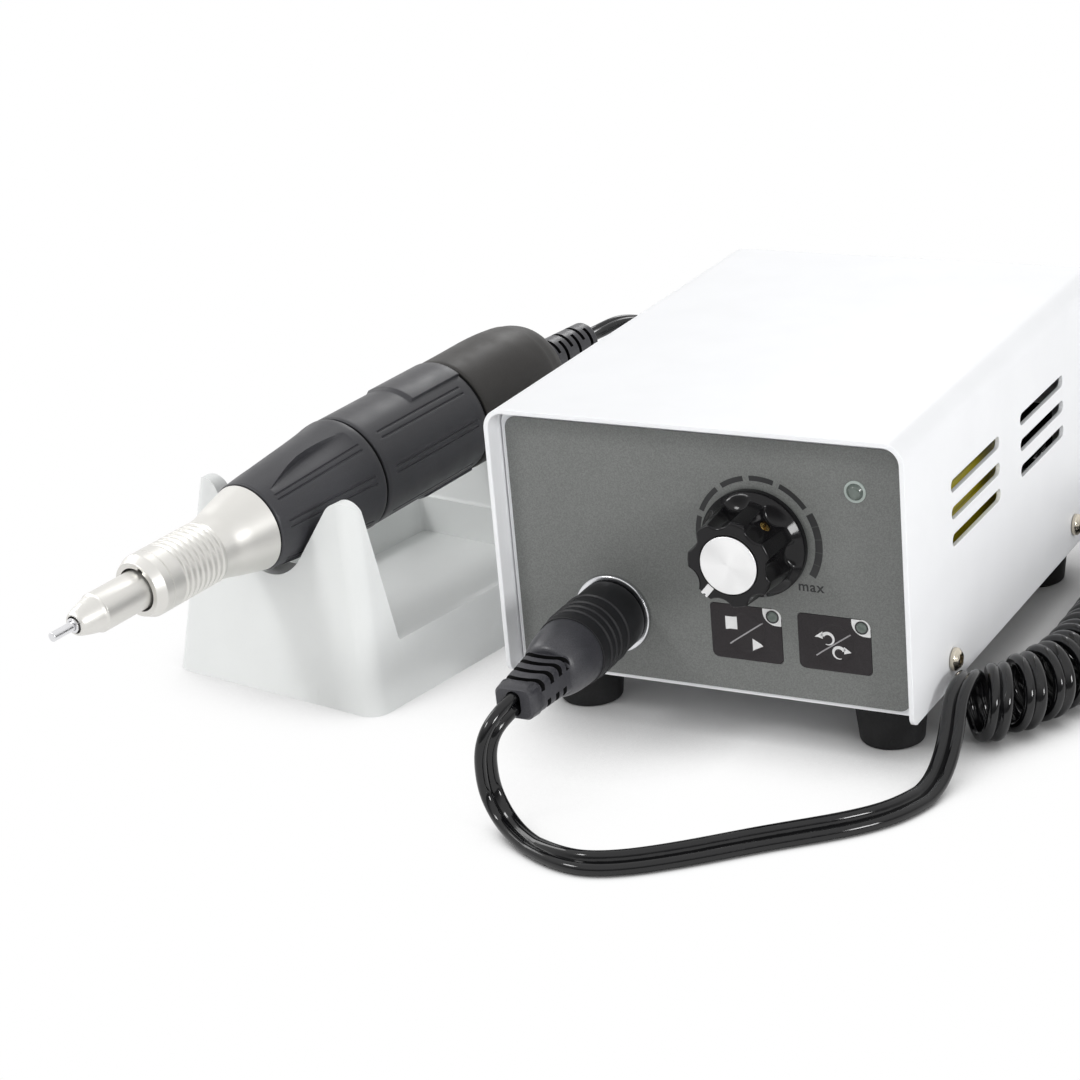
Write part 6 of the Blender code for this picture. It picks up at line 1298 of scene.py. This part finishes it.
@dataclass
class Connection:
    """Bright socket ring, and the round plug with its dome and slotted strain relief."""

    ring_radius: float = 9.8
    barrel: float = 8.8
    back: float = 1.3
    dome: float = 22.4
    dome_end: float = 33.7
    ridges: tuple = (9.8, 13.6, 16.1, 18.6)
    slots: tuple = (34.25, 37.4, 41.0, 44.9)
    relief_end: float = 50.1

    def build(self) -> None:
        """Makes every piece of the connection."""
        ring = lathe([(6.9, -8, 0), (7.6, -8, 0), (7.6, 0.3, 0), (self.ring_radius, 0.3, 0),
                      (self.ring_radius, 1.1, 0.35), (6.9, 1.1, 0.25)])
        form = Form(PANEL.moved(27.8, 16.8)).grid(rings(ring, 128), around=True, along=True)
        settle(form.solid("socket_collar", RING_METAL), Body.UNIT.value, RING_METAL.slot, "socket_ring")
        self.plug()
        self.relief()

    def plug(self) -> None:
        """Plug: pin, barrel with four fine ridges, a step and a smooth dome."""
        r = self.barrel
        corners = [(0, -6, 0), (5.0, -6, 0.4), (5.0, self.back, 0), (r, self.back, 0.45)]
        for ridge in self.ridges:
            corners += [(r, ridge - 0.42, 0), (r + 0.36, ridge - 0.1, 0.09), (r + 0.36, ridge + 0.1, 0.09),
                        (r, ridge + 0.42, 0)]
        corners += [(r, self.dome, 0.15), (r - 0.35, self.dome + 0.05, 0)]
        profile = lathe(corners, 4, 0.06)
        angle = np.linspace(0, math.pi / 2, 22)
        length = self.dome_end - self.dome
        swell = np.column_stack([5.3 + (r - 0.35 - 5.3) * np.cos(angle) ** 0.92,
                                 self.dome + length * np.sin(angle)])
        form = Form(PLUG).grid(rings(profile, 128), around=True)
        form.grid(rings(np.vstack([swell, [(0, self.dome_end)]]), 128), around=True, look=1)
        plug = form.solid("plug_body", SATIN_BLACK, DOME_BLACK)
        settle(plug, Body.PLUG.value, SATIN_BLACK.slot, "handpiece_plug")

    def relief(self) -> None:
        """Strain relief: rounded sections that narrow, four curved slots above and three below, and an end block."""
        places = ((33.0, 11.5, 9.5), (35.6, 11.0, 9.0), (46.2, 9.6, 7.9), (46.5, 9.9, 8.2), (49.6, 9.4, 7.7),
                  (self.relief_end, 8.6, 6.9))
        rows = np.stack([flat(oblong(w, h, 1.9, steps=6), z) for z, w, h in places])
        relief = Form(PLUG).tube(rows).solid("plug_relief", DOME_BLACK)
        tool = Form(PLUG)
        sweep = np.linspace(-1, 1, 15)
        for i, start in enumerate(self.slots):
            half = 5.4 - 0.28 * i
            for side, first in ((1, start), (-1, start + 1.9)):
                inner = side * (2.7 - 0.12 * i - 1.9 * np.abs(sweep) ** 4)
                rows = []
                for depth, height in ((inner, 0.0), (inner, 1.45), (np.full(15, side * 8.0), 1.45),
                                      (np.full(15, side * 8.0), 0.0)):
                    bend = first + height - 1.3 * sweep ** 2
                    rows.append(np.column_stack([half * 1.25 * sweep, depth, bend]))
                if first < 45:
                    tool.tube(np.stack(rows, 1))
        # The slot walls get the near-black finish instead of the relief's own: painted shade in the slots.
        carve(relief, tool, finish=SHADE_BLACK)
        mouth = oblong(3.6, 6.1, 1.75, steps=5)
        carve(relief, Form(PLUG).plate(mouth, self.relief_end - 2.8, self.relief_end + 2))
        soften(relief, 0.16, 2)
        settle(relief, Body.PLUG.value, DOME_BLACK.slot, "plug_strain_relief")


@dataclass
class NotchedStand:
    """White stand: a block with leaning sides, a well between two walls, and a notch in each wall."""

    half_width: float = 35.2
    length: float = 111.5
    lead: float = 0.6
    side_lean: float = 9.3
    end_lean: float = 8.4
    rail: float = 15.7
    deck: float = 5.0
    rail_inner: float = 30.5
    wall_foot: float = 13.9
    wall_lean: float = 3.9
    apex: float = 20.8
    notch: float = 32.2

    def build(self) -> None:
        """Makes the stand: the block, cut to the notched outline, then hollowed."""
        lean, notch = math.tan(math.radians(self.side_lean)), math.tan(math.radians(self.notch))
        peak = (self.half_width + self.apex * notch) / (lean + notch)
        top = peak + 1
        middle = self.length / 2 - self.lead
        rows = []
        for z in (0.0, top):
            inset, half = z * math.tan(math.radians(self.end_lean)), self.half_width - z * lean
            rows.append(flat(oblong(2 * half, self.length - 2 * inset, 5.0, (0, middle), 10), z))
        stand = Form(STAND).tube(np.stack(rows)).solid("cradle_stand", STAND_WHITE)
        wide = self.half_width + 0.3
        side = wide - lean * peak
        outline = fillet([(-wide - lean, -1, 0), (wide + lean, -1, 0), (side, peak, 5.0), (0, self.apex, 11.8),
                          (-side, peak, 5.0)], 16, True)
        carve(stand, Form(STAND.turned("X", 90)).plate(outline, -self.length - 2, 4), "INTERSECT")
        back = math.tan(math.radians(self.wall_lean))
        foot = (self.wall_foot - self.lead, self.length - self.lead - self.wall_foot)
        rise = (top - self.rail) * back
        gap = fillet([(foot[0], self.rail, 0.8), (foot[1], self.rail, 0.8), (foot[1] + rise, top, 0),
                      (foot[0] - rise, top, 0)], 5, True)
        across = Place(STAND.matrix @ np.array(Matrix.Rotation(math.radians(90), 4, "Z"))).turned("X", 90)
        carve(stand, Form(across).plate(gap, -self.half_width - 1, self.half_width + 1))
        well = oblong(2 * self.rail_inner, foot[1] - foot[0] - 2, 1.2, (0, sum(foot) / 2), 5)
        carve(stand, Form(STAND).plate(well, self.deck, self.rail + 1))
        soften(stand, 0.7, 4, 30)
        settle(stand, Body.UNIT.value, STAND_WHITE.slot, "handpiece_stand")


@dataclass
class Handpiece:
    """Handpiece on the stand: nose, ridged cone, grip with finger scoops, motor case, cap and relief."""

    grip_front: float = -1.75
    grip_rear: float = 33.8
    case_front: float = 34.7
    case_rear: float = 75.25
    case_radius: float = 15.2
    pad_radius: float = 15.85
    pad_front: float = 54.9
    pad_half: float = 30.2
    scoop_start: float = 1.6
    scoop_length: float = 29.0
    scoop_depth: float = 1.5
    scoop_end: float = 42.0
    line_fade: float = 0.35
    line_half: float = 0.95
    line_depth: float = 0.36
    cap_stations: tuple = (76, 86.1, 89.8, 93.7, 97.6, 101.5, 105.35, 109.25, 111.2, 112.4, 113.15, 113.8,
                           114.1)
    cap_radii: tuple = (15.55, 15.65, 15.74, 15.8, 15.8, 15.55, 15.13, 14.2, 13.4, 12.6, 11.84, 10.9, 10.2)
    # Near-black rings in the joints, painted shade of the gaps: name, station, half width, inner and outer radius.
    seams: tuple = (("front_seam", 34.25, 0.42, 10.3, 14.75), ("cap_seam", 75.6, 0.33, 13.4, 14.85),
                    ("nose_seam", -1.98, 0.2, 8.8, 11.25))

    @staticmethod
    def fold(angle: Array) -> Array:
        """Degrees from straight up or straight down to the nearer side, so both halves match."""
        degrees = np.degrees(angle) - 90
        return 90 - np.abs(90 - np.abs((degrees + 180) % 360 - 180))

    @staticmethod
    def quarters(part: Array) -> Array:
        """Columns for the whole round from those of one quarter.

        Args:
            part: Degrees from the top to the side, (n, m) or (m).

        Returns:
            Angles in radians, (n, 4 m - 4).
        """
        part = np.atleast_2d(part)
        inner = part[:, 1:-1]
        whole = np.concatenate([part, 180 - inner[:, ::-1], 180 + part[:, :1], 180 + inner,
                                180 + part[:, -1:], 360 - inner[:, ::-1]], 1)
        return np.radians(90 + whole)

    @staticmethod
    def ease(share: Array) -> Array:
        """Share from 0 to 1 that starts and ends softly, 3 x^2 - 2 x^3."""
        return np.clip(share, 0, 1) ** 2 * (3 - 2 * np.clip(share, 0, 1))

    def lines(self, fold: Array, station: Array, middles: tuple, start: float, end: float) -> Array:
        """Depth of fine lines along the body: narrow grooves that run out softly at both ends.

        Args:
            fold: Degrees from straight up or straight down.
            station: Place along the axis.
            middles: Degrees of the lines' middles.
            start: Station where the lines start.
            end: Station where they end.

        Returns:
            The depth.
        """
        fade = self.line_fade
        run = np.clip((station - start) / fade, 0, 1) * np.clip((end - station) / fade, 0, 1)
        depth = sum(np.exp(-((fold - middle) / self.line_half) ** 4) for middle in middles)
        return self.line_depth * depth * run

    @staticmethod
    def upper(angle: Array) -> Array:
        """True above the level of the axis."""
        return np.sin(angle) > 0

    @staticmethod
    def beside(*middles: float) -> Array:
        """Columns across fine lines, in degrees, close together at both edges of each line."""
        return (np.array(middles)[:, None] + (-1.5, -1.15, -0.9, -0.6, 0, 0.6, 0.9, 1.15, 1.5)).ravel()

    def build(self) -> None:
        """Makes every piece of the handpiece."""
        self.grip()
        self.case()
        self.cap()
        self.nose()
        self.relief()

    def grip(self) -> None:
        """Grip: a taper from which each finger scoop falls away below one sharp crease.

        The crease runs at c(s) degrees from the top. Between it and the line pair at 43 degrees the
        surface drops at once and comes back slowly, by depth * sin(pi * share of the length).
        """
        station = np.unique(np.concatenate([
            self.grip_front + np.array((0, 0.06, 0.18, 0.45)), np.arange(-1, 33.6, 0.7), (1.2, 1.38, 1.55),
            (30.65, 30.82, 31.0), self.grip_rear - np.array((0.5, 0.2, 0.06, 0))]))
        base = np.interp(station, (-1.75, 5.1, 12.25, 18.3, 24.5, 30.5, 32.3, 34.1),
                         (11.7, 12.5, 13.3, 13.9, 14.5, 15.15, 15.35, 15.35))
        crease = np.interp(station, (-1.75, 2.0, 6.0, 10.5, 15.4, 19.0, 23.0, 26.5, 29.5, 34.1),
                           (34.0, 32.6, 26.3, 20.0, 15.6, 15.2, 16.6, 19.0, 22.2, 27.0))[:, None]
        first = crease * np.linspace(0, 1, 9)[None, :-1]
        share = np.concatenate([[0, 0.02, 0.05, 0.085, 0.13, 0.2], np.linspace(0.3, 1, 9)])[None]
        second = crease + (41.2 - crease) * share
        rest = np.concatenate([self.beside(43.0, 49.5), np.linspace(53.5, 74.5, 8), self.beside(78.0, 85.5),
                               [88.4, 90]])
        rest = np.broadcast_to(rest, (len(station), len(rest)))
        angles = self.quarters(np.concatenate([first, second, rest], 1))
        fold = self.fold(angles)
        place = station[:, None]
        run = np.clip((place - self.scoop_start) / self.scoop_length, 0, 1)
        depth = self.scoop_depth * np.sin(math.pi * run) ** 0.75
        below = np.clip((fold - crease) / (self.scoop_end - crease), 0, 1)
        drop = np.clip(below / 0.085, 0, 1) * np.cos(below * math.pi / 2) ** 1.3
        radius = base[:, None] - depth * drop * (fold >= crease)
        radius = radius - self.lines(fold, place, (43.0, 49.5), 1.2, 31.0)
        radius = radius - self.lines(fold, place, (78.0, 85.5), 1.2, 31.0) * self.upper(angles)
        ends = np.clip(np.minimum(place - self.grip_front, self.grip_rear - place) / 0.5, 0, 1)
        radius = radius - 0.45 * (1 - np.sqrt(1 - (1 - ends) ** 2))
        points = np.stack([radius * np.cos(angles), radius * np.sin(angles), place + 0 * angles], -1)
        bore = np.array([(10.5, self.grip_front), (10.5, self.grip_rear)])
        inner = rings(bore, angles[:2])
        form = Form(HANDPIECE).grid(np.concatenate([inner[:1], points, inner[1:]]), around=True, along=True)
        settle(form.solid("finger_grip", CHARCOAL), Body.GRIP.value, CHARCOAL.slot, "front_grip")

    def case(self) -> None:
        """Motor case: a round body with fine lines, a raised pad above and below, and near-black rings in the joints
        whose black is painted shade.
        """
        station = np.unique(np.concatenate([
            self.case_front + np.array((0, 0.06, 0.2, 0.5)), np.arange(36, 54.5, 1.5), (38.5, 38.68, 38.85),
            np.linspace(54.6, 56.6, 11), np.arange(58, 74, 1.6), (71.65, 71.82, 72.0),
            self.case_rear - np.array((0.5, 0.2, 0.06, 0))]))[:, None]
        part = np.concatenate([np.linspace(0, 27.5, 12), np.linspace(28.4, 30.8, 9), np.linspace(32, 38.8, 6),
                               self.beside(41.0, 48.5), np.linspace(52, 76.5, 9), self.beside(79.5, 86.0),
                               [88.6, 90]])
        angles = np.broadcast_to(self.quarters(part), (len(station), 4 * len(part) - 4))
        fold = self.fold(angles)
        pad = self.ease((self.pad_half - fold) / 1.3) * np.clip((station - self.pad_front) / 1.2, 0, 1)
        round_body = self.case_radius - 0.1 * self.ease((station - 58) / 17)
        radius = round_body + (self.pad_radius - round_body) * pad
        radius = radius - self.lines(fold, station, (41.0, 48.5), 38.5, 72.0)
        radius = radius - self.lines(fold, station, (79.5, 86.0), 38.5, 72.0) * self.upper(angles)
        ends = np.clip(np.minimum(station - self.case_front, self.case_rear - station) / 0.5, 0, 1)
        radius = radius - 0.45 * (1 - np.sqrt(1 - (1 - ends) ** 2))
        points = np.stack([radius * np.cos(angles), radius * np.sin(angles), station + 0 * angles], -1)
        inner = np.array([(13.2, self.case_rear), (13.2, 37.0), (9.0, 37.0), (9.0, -1.75), (8.0, -2.05),
                          (8.0, -8.05), (8.6, -8.05), (8.6, -2.05), (10.2, -1.75), (10.2, self.case_front)])
        form = Form(HANDPIECE).grid(np.concatenate([points, rings(inner, angles[:1])]), around=True, along=True)
        settle(form.solid("motor_shell", CHARCOAL), Body.HANDPIECE.value, CHARCOAL.slot, "motor_case")
        # The joints are real; the near-black rings filling them are painted shade of the gaps.
        for name, station, half, inside, radius in self.seams:
            seam = np.array([(inside, station - half), (radius, station - half), (radius, station + half),
                             (inside, station + half)])
            ring = Form(HANDPIECE).grid(rings(seam, 96), around=True, along=True).solid(name, SHADE_BLACK)
            settle(ring, Body.HANDPIECE.value, SHADE_BLACK.slot)

    def cap(self) -> None:
        """Rear cap, a full round back end with a hole for the strain relief."""
        outer = [(13.3, 75.95), (15.05, 75.95), (15.2, 75.99), (15.38, 76.15), (15.5, 76.4)]
        stations = np.concatenate([np.linspace(77, 105, 18), np.linspace(106, 114.1, 26)])
        curve = np.interp(stations, self.cap_stations, self.cap_radii)
        kernel = np.array([1, 2, 3, 2, 1]) / 9
        curve[2:-2] = np.convolve(curve, kernel, "valid")
        inner = [(5.0, 114.1), (5.0, 110), (12, 110), (12, 90), (13.3, 90)]
        profile = np.vstack([outer, np.column_stack([curve, stations]), inner])
        form = Form(HANDPIECE).grid(rings(profile, 144), around=True, along=True)
        settle(form.solid("rear_shell", CAP_CHARCOAL), Body.HANDPIECE.value, CAP_CHARCOAL.slot, "rear_cap")

    def nose(self) -> None:
        """Ridged nose cone, nose tip, collet and the polished test mandrel."""
        corners = [(7.3, -2.2, 0), (7.3, -8, 0), (5.6, -8, 0), (5.6, -40.75, 0), (6.9, -40.75, 0.25),
                   (8.1, -38.25, 0.5), (8.1, -35.95, 0), (7.95, -35.85, 0), (7.95, -35.75, 0), (8.1, -35.65, 0),
                   (8.1, -32.35, 0.12)]
        for i in range(8):
            start = -32.35 + 1.8 * i
            corners += [(7.68, start + 0.3, 0.12), (7.68, start + 0.85, 0.12), (8.1, start + 1.2, 0.15),
                        (8.1, start + 1.68, 0.15)]
        corners += [(7.85, -17.4, 0.4)]
        flare = np.linspace(-17.0, -2.2, 26)
        curve = np.interp(flare, (-17.4, -13.7, -9.8, -5.85, -2.05), (7.85, 8.42, 9.55, 10.5, 11.4))
        curve[1:-1] = (curve[:-2] + curve[1:-1] + curve[2:]) / 3
        profile = np.vstack([lathe(corners + [(7.9, -17.1, 0)], 4, 0.05), np.column_stack([curve, flare])])
        cone = Form(HANDPIECE).grid(rings(profile, 144), around=True, along=True).solid("ridged_cone", NICKEL)
        carve(cone, Form(HANDPIECE.turned("Z", 115)).block((4.9, -0.8, -42), (6.35, 0.8, -39.5)))
        settle(cone, Body.HANDPIECE.value, NICKEL.slot, "nose_cone")
        along = np.linspace(0, 1, 16)
        ogive = np.column_stack([2.75 + 1.9 * along ** 0.72, -61.1 + 6.3 * along])
        tip = lathe([(4.65, -54.8, 0), (5.0, -54.4, 0.2), (5.0, -40.9, 0.1), (5.0, -34, 0), (3.8, -34, 0),
                     (2.2, -55, 0), (2.2, -61.3, 0.1), (2.6, -61.3, 0.15)], 4, 0.04)
        profile = np.vstack([ogive, tip])
        nose = Form(HANDPIECE).grid(rings(profile, 112), around=True, along=True).solid("taper_nose", NICKEL)
        settle(nose, Body.HANDPIECE.value, NICKEL.slot, "nose_tip")
        grip = lathe([(1.25, -60, 0), (1.25, -61.9, 0), (1.85, -61.9, 0.15), (1.85, -60, 0)], 4, 0.03)
        collet = Form(HANDPIECE).grid(rings(grip, 64), around=True, along=True).solid("split_collet", STEEL)
        settle(collet, Body.SPINDLE.value, STEEL.slot, "collet")
        pin = lathe([(0, -26.5, 0), (1.175, -26.5, 0.1), (1.175, -68.4, 0.18), (0, -68.4, 0)], 4, 0.04)
        mandrel = Form(HANDPIECE).grid(rings(pin, 48), around=True).solid("polished_mandrel", STEEL)
        settle(mandrel, Body.MANDREL.value, STEEL.slot, "test_mandrel")

    def relief(self) -> None:
        """Strain relief of the lead: a slim taper with slots that alternate from side to side."""
        profile = lathe([(0, 109, 0), (4.6, 109, 0), (4.6, 114.2, 0), (5.9, 114.45, 0.4), (5.0, 138.3, 0.6),
                         (0, 138.3, 0)])
        relief = Form(HANDPIECE).grid(rings(profile, 64), around=True).solid("lead_relief", DOME_BLACK)
        tool = Form(HANDPIECE)
        for i in range(7):
            start = 117.4 + 2.9 * i
            inner, outer = 3.1, 8.0
            angle = np.radians(np.linspace(-62, 62, 13)) + (math.pi / 2 if i % 2 else 0)
            for flip in (0, math.pi):
                way = np.column_stack([np.cos(angle + flip), np.sin(angle + flip)])
                tool.plate(np.vstack([inner * way, outer * way[::-1]]), start, start + 1.2)
        # The slot walls get the near-black finish instead of the relief's own: painted shade in the slots.
        soften(carve(relief, tool, finish=SHADE_BLACK), 0.12, 2)
        settle(relief, Body.HANDPIECE.value, DOME_BLACK.slot, "handpiece_strain_relief")


@dataclass
class RearFittings:
    """Mains inlet, fuse holder and pedal socket on the rear plate."""

    inlet: tuple = (25.0, 22.7)
    fuse: tuple = (59.0, 45.7)
    pedal: tuple = (81.0, 27.7)
    face: float = 2.1

    def build(self) -> None:
        """Makes every fitting."""
        self.mains_inlet()
        self.fuse_holder()
        self.pedal_socket()

    def mains_inlet(self) -> None:
        """Makes the inlet's frame, its well and its three pins."""
        place = REAR.moved(*self.inlet)
        rows = [flat(oblong(31.4, 23.4, 2.5), 0.3), flat(oblong(31.4, 23.4, 2.5), self.face)]
        inlet = Form(place).tube(np.stack(rows)).solid("inlet_frame", SATIN_BLACK)
        carve(inlet, Form(place).plate(oblong(22.0, 14.0, 1.5), -5, 5))
        shroud = fillet([(11, 7, 1.5), (-11, 7, 1.5), (-11, -3, 4.0), (-7, -7, 1.5), (7, -7, 1.5),
                         (11, -3, 1.5)], 5, True)
        shell = Form(place).plate(shroud * 1.0, -15, self.face - 0.2).solid("inlet_well", SATIN_BLACK)
        carve(shell, Form(place).plate(shroud * 0.9, self.face - 12.5, 5))
        settle(soften(inlet, 0.5), Body.UNIT.value, SATIN_BLACK.slot, "mains_inlet")
        settle(shell, Body.UNIT.value, SATIN_BLACK.slot)
        pins = Form(place)
        for x, y in ((-7, -3), (7, -3), (0, 3)):
            pins.plate(oblong(2.0, 4.0, 0.3, (x, y), 3), -11.5, -1.4)
        settle(soften(pins.solid("inlet_pins", PLAIN_STEEL), 0.35), Body.UNIT.value, PLAIN_STEEL.slot)

    @staticmethod
    def knurl(angle: Array, radius: Array, height: Array) -> Array:
        """Fine grip round the side of the fuse cap."""
        return radius - 0.18 * (np.cos(18 * angle) > 0) * (radius > 6.1) * (height > 3) * (height < 5.8)

    def fuse_holder(self) -> None:
        """Makes the holder's barrel and its slotted cap."""
        place = REAR.moved(*self.fuse)
        holder = lathe([(4.5, -24, 0), (6.0, -24, 0), (6.0, 0.3, 0), (7.5, 0.3, 0), (7.5, 2.1, 0.6),
                        (4.5, 2.1, 0.2)])
        form = Form(place).grid(rings(holder, 72), around=True, along=True)
        settle(form.solid("fuse_barrel", SATIN_BLACK), Body.UNIT.value, SATIN_BLACK.slot, "fuse_holder")
        profile = np.array([(0, -15.6), (4.2, -15.6), (4.2, 2.4), (5.9, 2.4), (6.2, 2.6), (6.2, 3.1), (6.2, 3.2),
                            (6.2, 5.7), (6.2, 5.9), (6.1, 6.2), (5.8, 6.4), (0, 6.4)])
        cap = Form(place).grid(rings(profile, 144, self.knurl), around=True).solid("fuse_knob", SATIN_BLACK)
        carve(cap, Form(place).block((-3.2, -0.5, 5.2), (3.2, 0.5, 8)))
        settle(cap, Body.FUSE.value, SATIN_BLACK.slot, "fuse_cap")

    def pedal_socket(self) -> None:
        """Makes the round jack and its three contacts."""
        place = REAR.moved(*self.pedal)
        profile = lathe([(0, -10, 0), (7.2, -10, 0), (7.2, 0.3, 0), (9.0, 0.3, 0), (9.0, 2.1, 0.5),
                         (5.8, 2.1, 0.3), (5.8, -3.9, 0), (0, -3.9, 0)])
        form = Form(place).grid(rings(profile, 96), around=True)
        settle(form.solid("pedal_jack", SATIN_BLACK), Body.UNIT.value, SATIN_BLACK.slot, "pedal_socket")
        contacts = Form(place)
        for degrees in (-90, -30, 30):
            x, y = 3.4 * math.sin(math.radians(degrees)), -3.4 * math.cos(math.radians(degrees))
            contacts.plate(disc(0.6, (x, y), 20), -4.0, -1.0)
        settle(contacts.solid("pedal_contacts", PLAIN_STEEL), Body.UNIT.value, PLAIN_STEEL.slot)


@dataclass
class InnerWorks:
    """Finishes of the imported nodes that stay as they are."""

    finishes: tuple = (
        ("chassis_tray", PAINT), ("key_board", BOARD_GREEN), ("circuit_board", BOARD_GREEN),
        ("potentiometer_body", SINK_METAL), ("potentiometer_nut", PLAIN_STEEL),
        ("potentiometer_shaft", PLAIN_STEEL),
        ("socket_insert", SATIN_BLACK), ("heat_sink", SINK_METAL), ("capacitor", GLOSS_BLACK),
        ("transformer_core", LAMINATION), ("transformer_winding", TAPE), ("switch_housing", SATIN_BLACK),
        ("power_rocker", GLOSS_BLACK), ("spindle_shaft", PLAIN_STEEL), ("front_bearing_a", PLAIN_STEEL),
        ("front_bearing_b", PLAIN_STEEL), ("rear_bearing", PLAIN_STEEL), ("rotor", LAMINATION),
        ("commutator", COPPER), ("magnet_ring", MAGNET), ("brush_holder", SATIN_BLACK), ("brush_left", CARBON),
        ("brush_right", CARBON))

    def build(self) -> None:
        """Gives each node its finish."""
        for name, finish in self.finishes:
            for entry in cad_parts[name].material_slots:
                entry.material = finish.make()
            LOG.info("%s keeps its shape in %s", name, finish.name)


def main() -> None:
    """Builds the studio and every sub-assembly in order."""
    logging.basicConfig(level=logging.INFO, format="%(message)s")
    for part in (Studio(), Housing(), FrontPanel(), SpeedKnob(), Connection(), Cord(), NotchedStand(),
                 Handpiece(), RearFittings(), InnerWorks()):
        part.build()
        LOG.info("%s is built", type(part).__name__)
    bpy.context.view_layer.update()


if __name__ == "__main__":
    main()
